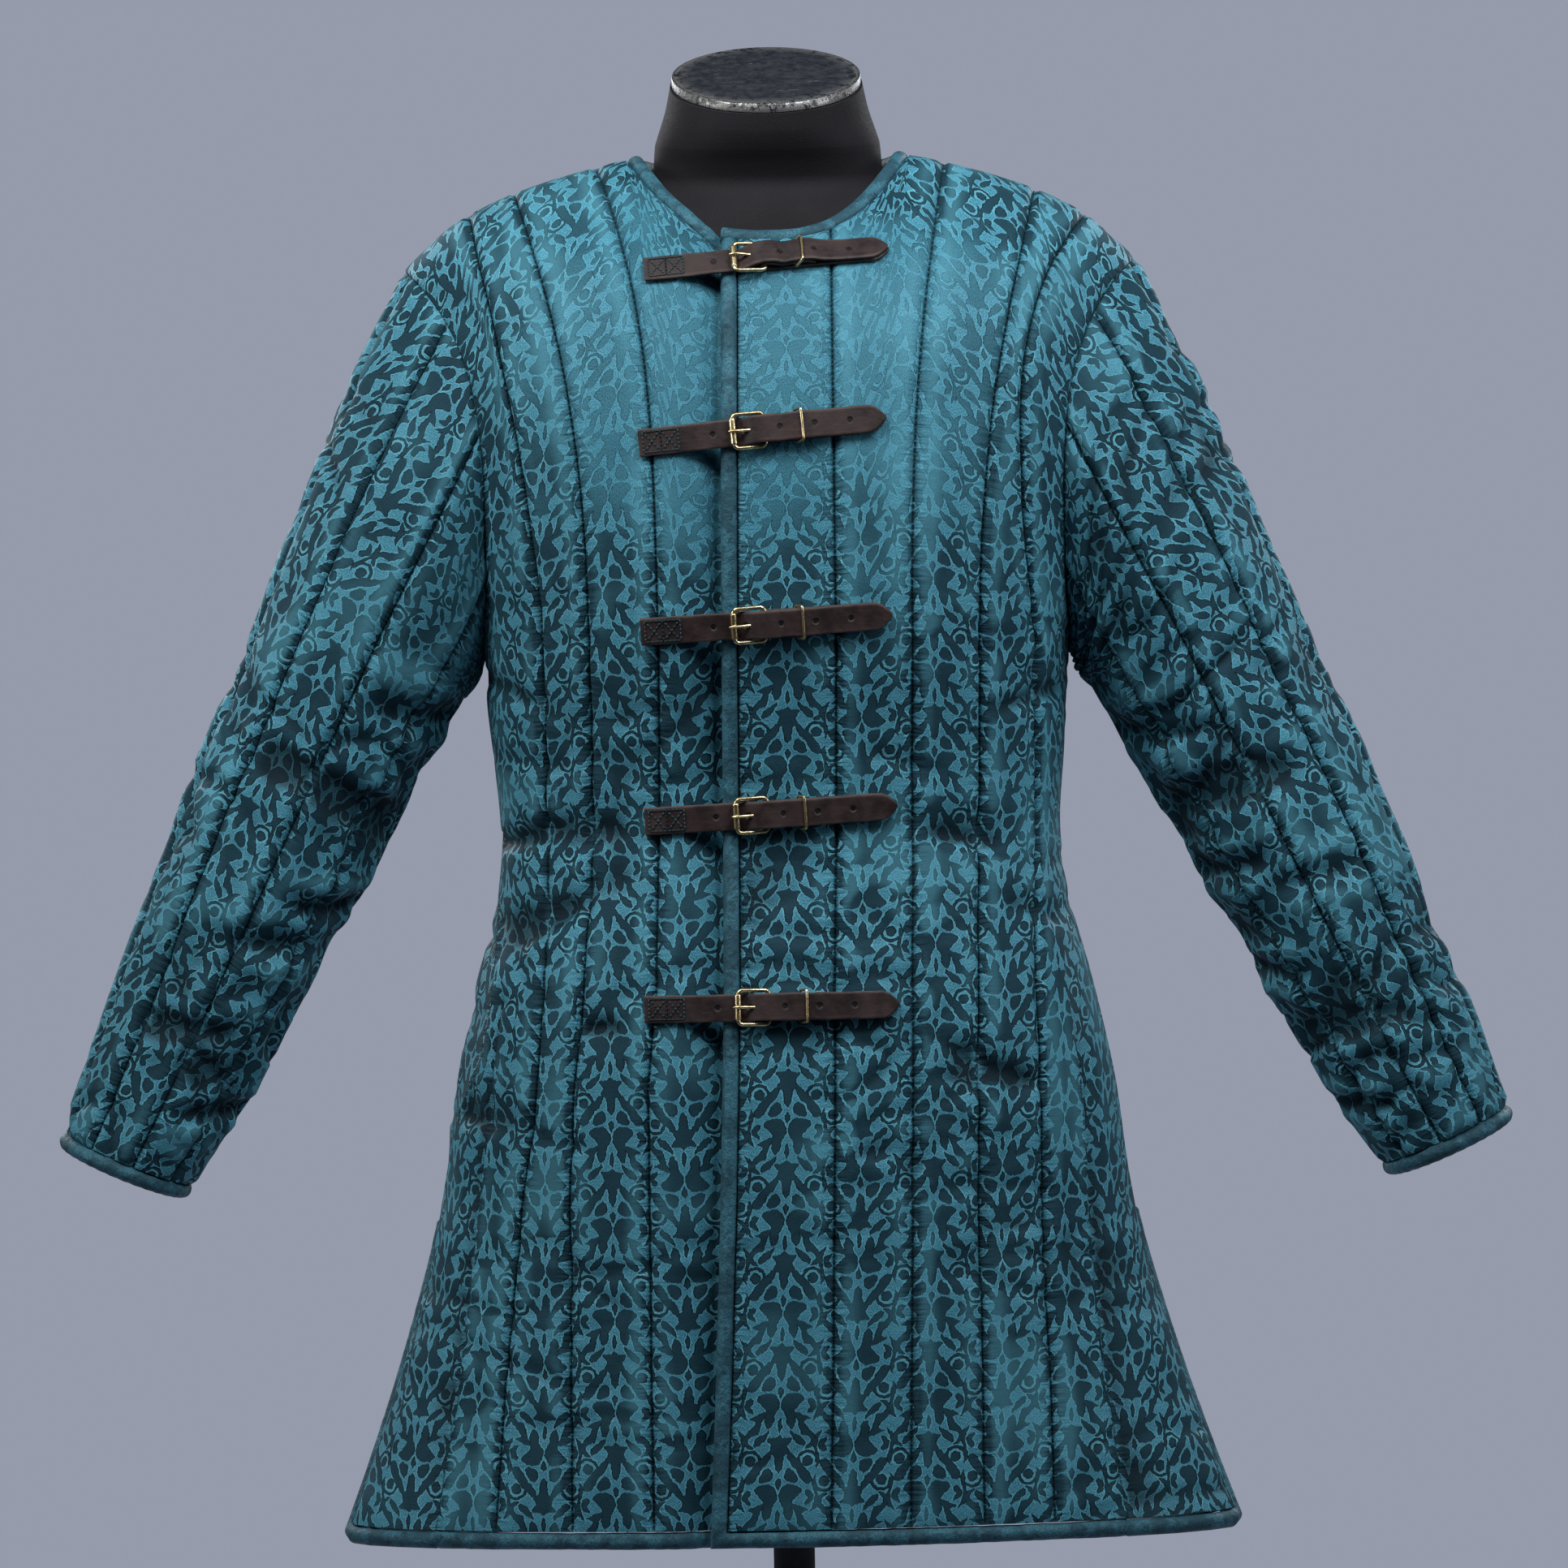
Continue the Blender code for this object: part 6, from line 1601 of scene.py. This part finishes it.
def stitched_box(strap, start, end, half, face, gap=0.0026):
    """Threads of two boxes side by side, each with a cross in it, on a strap's face given as (at, out)."""
    seams = []
    middle, inset = (start + end) / 2, 0.0014
    for a0, a1 in ((start, middle), (middle, end)):
        seams += [(a0, -half, a1, -half), (a1, -half, a1, half), (a1, half, a0, half), (a0, half, a0, -half)]
        near, far, cross = a0 + inset, a1 - inset, half - inset
        seams += [(near, -cross, far, cross), (near, cross, far, -cross)]
    made = []
    for a0, w0, a1, w1 in seams:
        size = math.hypot(a1 - a0, w1 - w0)
        count = max(2, int(size / gap))
        for k in range(count):
            s0, s1 = (k + 0.12) / count, (k + 0.88) / count
            at = np.array([a0 + (a1 - a0) * s0, a0 + (a1 - a0) * s1])
            wide = np.array([w0 + (w1 - w0) * s0, w0 + (w1 - w0) * s1])
            ends = in_strap(strap, at, np.interp(at, *face), wide)
            _, up, _ = strap_frame(strap, at)
            made.append(stitch(ends[0], ends[1], up[0]))
    return made


SEWN_FROM_START = (0.003, 0.026)  # the stitched boxes, measured from the tongue's sewn end
SEWN_HALF = 0.0068
FRAME_ROUND, KEEPER_ROUND = 0.0032, 0.0014  # corner radii of the wire rings
KEEPER_STEPS = 4
ROLLER = table(
    "across radius",
    (-1.0, 0.75),
    (-0.985, 0.92),
    (-0.94, 0.99),
    (-0.90, 1.0),
    (-0.3, 1.0),
    (0.3, 1.0),
    (0.90, 1.0),
    (0.94, 0.99),
    (0.985, 0.92),
    (1.0, 0.75),
)
# a prong from the bar that it is bent round to its tip, with its radius as a share
PRONG = table(
    "at out radius",
    (BAR_AT + 0.0016, BAR_OUT - 0.0004, 0.9),
    (BAR_AT, BAR_OUT + 0.0006, 1.35),
    (0.016, 0.0056, 1.15),
    (0.011, 0.0072, 1.05),
    (0.006, 0.0088, 1.0),
    (0.002, 0.0100, 0.95),
    (0.0, PRONG_OUT, 0.9),
    (PRONG_END, PRONG_OUT - PRONG_R / 2, 0.55),
)

for number in range(len(STRAPS["roller_x"])):
    strap = {key: float(column[number]) for key, column in STRAPS.items()}
    tag = str(number + 1)

    at, out, half = tongue_stations(strap)
    tongue = fine_leather("tongue_" + tag, strap, at, out, half, TONGUE_THICK, HOLES, 1.0 + number)
    dress(tongue, WORN_LEATHER, "leather", "tongue_strap_" + tag)
    first, last = (strap["start"] + away for away in SEWN_FROM_START)
    sewn = stitched_box(strap, first, last, SEWN_HALF, (at, out + TONGUE_THICK / 2))

    at, out, half = backing_stations(strap)
    behind = fine_leather("backing_" + tag, strap, at, out, half, BACKING_THICK, (), 11.0 + number)
    dress(behind, WORN_LEATHER, "leather", "buckle_strap_" + tag)

    dress(together("stitches_" + tag, sewn), WAXED_THREAD, "leather")

    rise = ROLLER_OUT - BAR_OUT
    ring = rounded(0.0, BAR_AT, -FRAME_HALF, FRAME_HALF, FRAME_ROUND)
    frame_path = in_strap(strap, ring[:, 0], ROLLER_OUT - rise * ring[:, 0] / BAR_AT, ring[:, 1])
    solids = [tube(frame_path, BAR_R, 12, closed=True, guide=(0, -1, 0))]
    wide = ROLLER["across"] * ROLLER_HALF
    axle = in_strap(strap, 0 * wide, 0 * wide + ROLLER_OUT, wide)
    solids.append(tube(axle, ROLLER["radius"] * ROLLER_R, 20, guide=(0, -1, 0)))
    prong = in_strap(strap, PRONG["at"], PRONG["out"], 0 * PRONG["at"])
    solids.append(tube(prong, PRONG["radius"] * PRONG_R, 12))
    dress(together("brass_buckle_" + tag, solids), OLD_BRASS, "brass", "buckle_" + tag)

    low_out, high_out = KEEPER_OUT
    ring = rounded(low_out, high_out, -KEEPER_HALF, KEEPER_HALF, KEEPER_ROUND, KEEPER_STEPS)
    leant = KEEPER_AT - KEEPER_LEAN * (high_out - ring[:, 0]) / (high_out - low_out)
    loop = in_strap(strap, leant, ring[:, 0], ring[:, 1])
    keeper = together("brass_keeper_" + tag, [tube(loop, KEEPER_R, 12, closed=True, guide=(1, 0, 0))])
    dress(keeper, OLD_BRASS, "brass", "keeper_" + tag)


# ---------------------------------------------------------------- dress form and stand
def turned_mesh(name, sections, steps, power=2.0, sharp=35, rim=None):
    """A round piece from sections of height, half width, front, back and lift at the back for each metre."""
    height, half_width, front, rear, lift = np.array(sections, float).T
    turn = np.arange(steps) * 2 * math.pi / steps
    x = np.sign(np.cos(turn)) * np.abs(np.cos(turn)) ** (2 / power)
    y = np.sign(np.sin(turn)) * np.abs(np.sin(turn)) ** (2 / power)
    deep = y * np.where(y < 0, front[:, None], rear[:, None])
    points = np.stack([half_width[:, None] * x, deep, height[:, None] + lift[:, None] * deep], axis=-1)
    values = {"rim": np.repeat(rim, steps)} if rim is not None else {}
    faces = outline_faces(len(height), steps, False)
    return fine_mesh(name, points.reshape(-1, 3), faces, None, values, sharp)


def even_rounds(heights, radii):
    """Sections of a piece that is as deep as it is wide."""
    return [(height, radius, radius, radius, 0.0) for height, radius in zip(heights, radii)]


ROUND_SIDES, POLE_SIDES = 112, 48
CAP_SLOPE, CAP_SHORT = math.tan(CAP_TILT), math.cos(CAP_TILT)
even = np.linspace(FORM["height"][0], FORM["height"][-1], 110)
heights = np.unique(np.concatenate([FORM["height"], even]))
*widths, tilt = (read(FORM, key, heights) for key in ("half_width", "front", "back", "tilt"))
sections = np.column_stack([heights, *widths, tilt * CAP_SLOPE])
form = turned_mesh("covered_form", sections, ROUND_SIDES, FORM_POWER, 60)
dress(form, BLACK_COVER, "form_cloth", "form_torso")

CAP_EDGE = 0.0012
CAP_DROP = CAP_THICK / CAP_SHORT
# down from the top, in from the side and how much the paint is worn there
CAP_ROWS = table(
    "down wider rim",
    (CAP_DROP, -CAP_EDGE, 0.2),
    (CAP_DROP - CAP_EDGE * 0.3, -CAP_EDGE * 0.3, 0.8),
    (CAP_DROP - CAP_EDGE, 0.0, 0.9),
    (CAP_EDGE, 0.0, 0.7),
    (CAP_EDGE * 0.3, -CAP_EDGE * 0.3, 1.0),
    (0.0, -CAP_EDGE, 1.0),
    (0.0, -CAP_EDGE - 0.0012, 0.75),
    (0.0, -CAP_EDGE - 0.003, 0.15),
    (-0.0001, -0.012, 0.0),
    (-0.0002, -0.050, 0.0),
)
wide, deep = CAP_R + CAP_ROWS["wider"], (CAP_R + CAP_ROWS["wider"]) * CAP_SHORT
slope = np.full(len(wide), CAP_SLOPE)
sections = np.column_stack([CAP_HEIGHT - CAP_ROWS["down"], wide, deep, deep, slope])
cap = turned_mesh("steel_cap", sections, ROUND_SIDES, rim=CAP_ROWS["rim"])
dress(cap, WORN_PAINT, "cap_paint", "neck_cap")

pole_heights = np.linspace(BASE_THICK + SEAM - HEM_Z, float(FORM["height"][0]) - SEAM, 12)
pole = turned_mesh("turned_pole", even_rounds(pole_heights, np.full(12, POLE_R)), POLE_SIDES)
dress(pole, STAND_PAINT, "stand_metal", "stand_pole")
BASE_ROWS = table(
    "height wider",
    (0.0, -0.003),
    (0.0006, -0.0012),
    (0.002, -0.0002),
    (0.004, 0.0),
    (0.0155, 0.0),
    (0.0178, -0.0006),
    (0.0192, -0.0020),
    (0.02, -0.0045),
    (0.02, -0.04),
    (0.02, -0.12),
)
rounds = even_rounds(BASE_ROWS["height"] - HEM_Z, BASE_R + BASE_ROWS["wider"])
dress(turned_mesh("round_base", rounds, ROUND_SIDES), STAND_PAINT, "stand_metal", "stand_base")


# ---------------------------------------------------------------- floor, light and camera
def floor_material():
    s = Sums("pale_floor", roughness=0.85)
    patches = s.ramp(s.noise(s.place(), 1.5, 2.0), 0.3, 0.7)
    return s.paint(s.mix(patches, (0.40, 0.43, 0.52), (0.42, 0.45, 0.545)))


def floor():
    """A round floor, which ends before the photo's camera sees past the stand."""
    bpy.ops.mesh.primitive_circle_add(vertices=96, radius=FLOOR_R, fill_type="NGON")
    made = bpy.context.object
    made.name = made.data.name = "studio_floor"
    made.data.materials.append(floor_material())


def backdrop():
    """A pale screen all round, far enough away that a camera can go round inside it."""
    size = {"radius": SCREEN_R, "depth": 2 * SCREEN_HALF, "location": (0, 0, SCREEN_MIDDLE)}
    bpy.ops.mesh.primitive_cylinder_add(vertices=128, end_fill_type="NGON", **size)
    made = bpy.context.object
    made.name = made.data.name = "studio_screen"
    made.data.shade_smooth()
    made.data.set_sharp_from_angle(angle=math.radians(40))
    glow = {"Base_Color": (0, 0, 0, 1), "Emission_Color": (*SCREEN, 1), "Emission_Strength": 1.0}
    s = Sums("screen_cloth", roughness=1.0, **glow)
    made.data.materials.append(s.material)
    made.visible_diffuse = made.visible_glossy = made.visible_shadow = False


def area_light(name, place, aim, size, watts, colour, spread):
    data = bpy.data.lights.new(name, "AREA")
    data.shape, data.size, data.energy, data.color = "SQUARE", size, watts, colour
    data.spread = math.radians(spread)
    made = bpy.data.objects.new(name, data)
    made.location = place
    made.visible_camera = False
    made.rotation_euler = (Vector(aim) - Vector(place)).to_track_quat("-Z", "Y").to_euler()
    bpy.context.scene.collection.objects.link(made)


FLOOR_R = 1.8
SCREEN_R = 14.0
SCREEN_HALF = 12.0
SCREEN_MIDDLE = 0.7
SCREEN = (0.301, 0.328, 0.407)
floor()
backdrop()
WARM, COOL, FAR = (1.0, 0.99, 0.97), (0.96, 0.98, 1.0), (0.95, 0.97, 1.0)
CLOSE_SPREAD, WHOLE_SPREAD = 80, 180
BACK_AIM = (0, 0, 0.75)
# where each light stands, what it is turned to, its size in metres, watts, colour and spread in degrees
LIGHTS = (
    ("left_top", (-0.75, -1.1, 2.55), (-0.15, 0, 1.25), 0.8, 6.5, WARM, CLOSE_SPREAD),
    ("right_top", (0.75, -1.1, 2.45), (0.15, 0, 1.22), 0.8, 6.2, COOL, CLOSE_SPREAD),
    ("left_box", (-2.1, -0.75, 1.55), (-0.1, 0, 1.08), 0.9, 3.5, WARM, CLOSE_SPREAD),
    ("right_box", (2.1, -0.75, 1.55), (0.1, 0, 1.08), 0.9, 3.0, COOL, CLOSE_SPREAD),
    ("back_left", (-1.9, 2.5, 2.2), BACK_AIM, 1.4, 40, FAR, WHOLE_SPREAD),
    ("back_right", (1.9, 2.5, 2.2), BACK_AIM, 1.4, 34, FAR, WHOLE_SPREAD),
)
for light in LIGHTS:
    area_light(*light)


SKY, SKY_STRENGTH = (0.50, 0.56, 0.68, 1), 0.030
world = bpy.data.worlds.new("studio")
world.use_nodes = True
sky = world.node_tree.nodes["Background"].inputs
sky["Color"].default_value = SKY
sky["Strength"].default_value = SKY_STRENGTH
bpy.context.scene.world = world

VIEW_MIDDLE = 0.917
VIEW_WIDE = 1.0626
CAMERA_AWAY = 4.5
CAMERA_UP = 1.035
CAMERA_ROLL = -1.1
CAMERA_X = 0.003
SENSOR = 36
camera_data = bpy.data.cameras.new("camera")
camera_data.sensor_width = SENSOR
camera_data.lens = SENSOR * CAMERA_AWAY / VIEW_WIDE
camera = bpy.data.objects.new("camera", camera_data)
camera.location = (CAMERA_X, -CAMERA_AWAY, CAMERA_UP)
look = (Vector((CAMERA_X, 0.0, VIEW_MIDDLE)) - camera.location).to_track_quat("-Z", "Y")
camera.rotation_mode = "QUATERNION"
camera.rotation_quaternion = look @ Matrix.Rotation(math.radians(CAMERA_ROLL), 3, "Z").to_quaternion()
bpy.context.scene.collection.objects.link(camera)
bpy.context.scene.camera = camera
bpy.context.scene.view_settings.view_transform = "Standard"
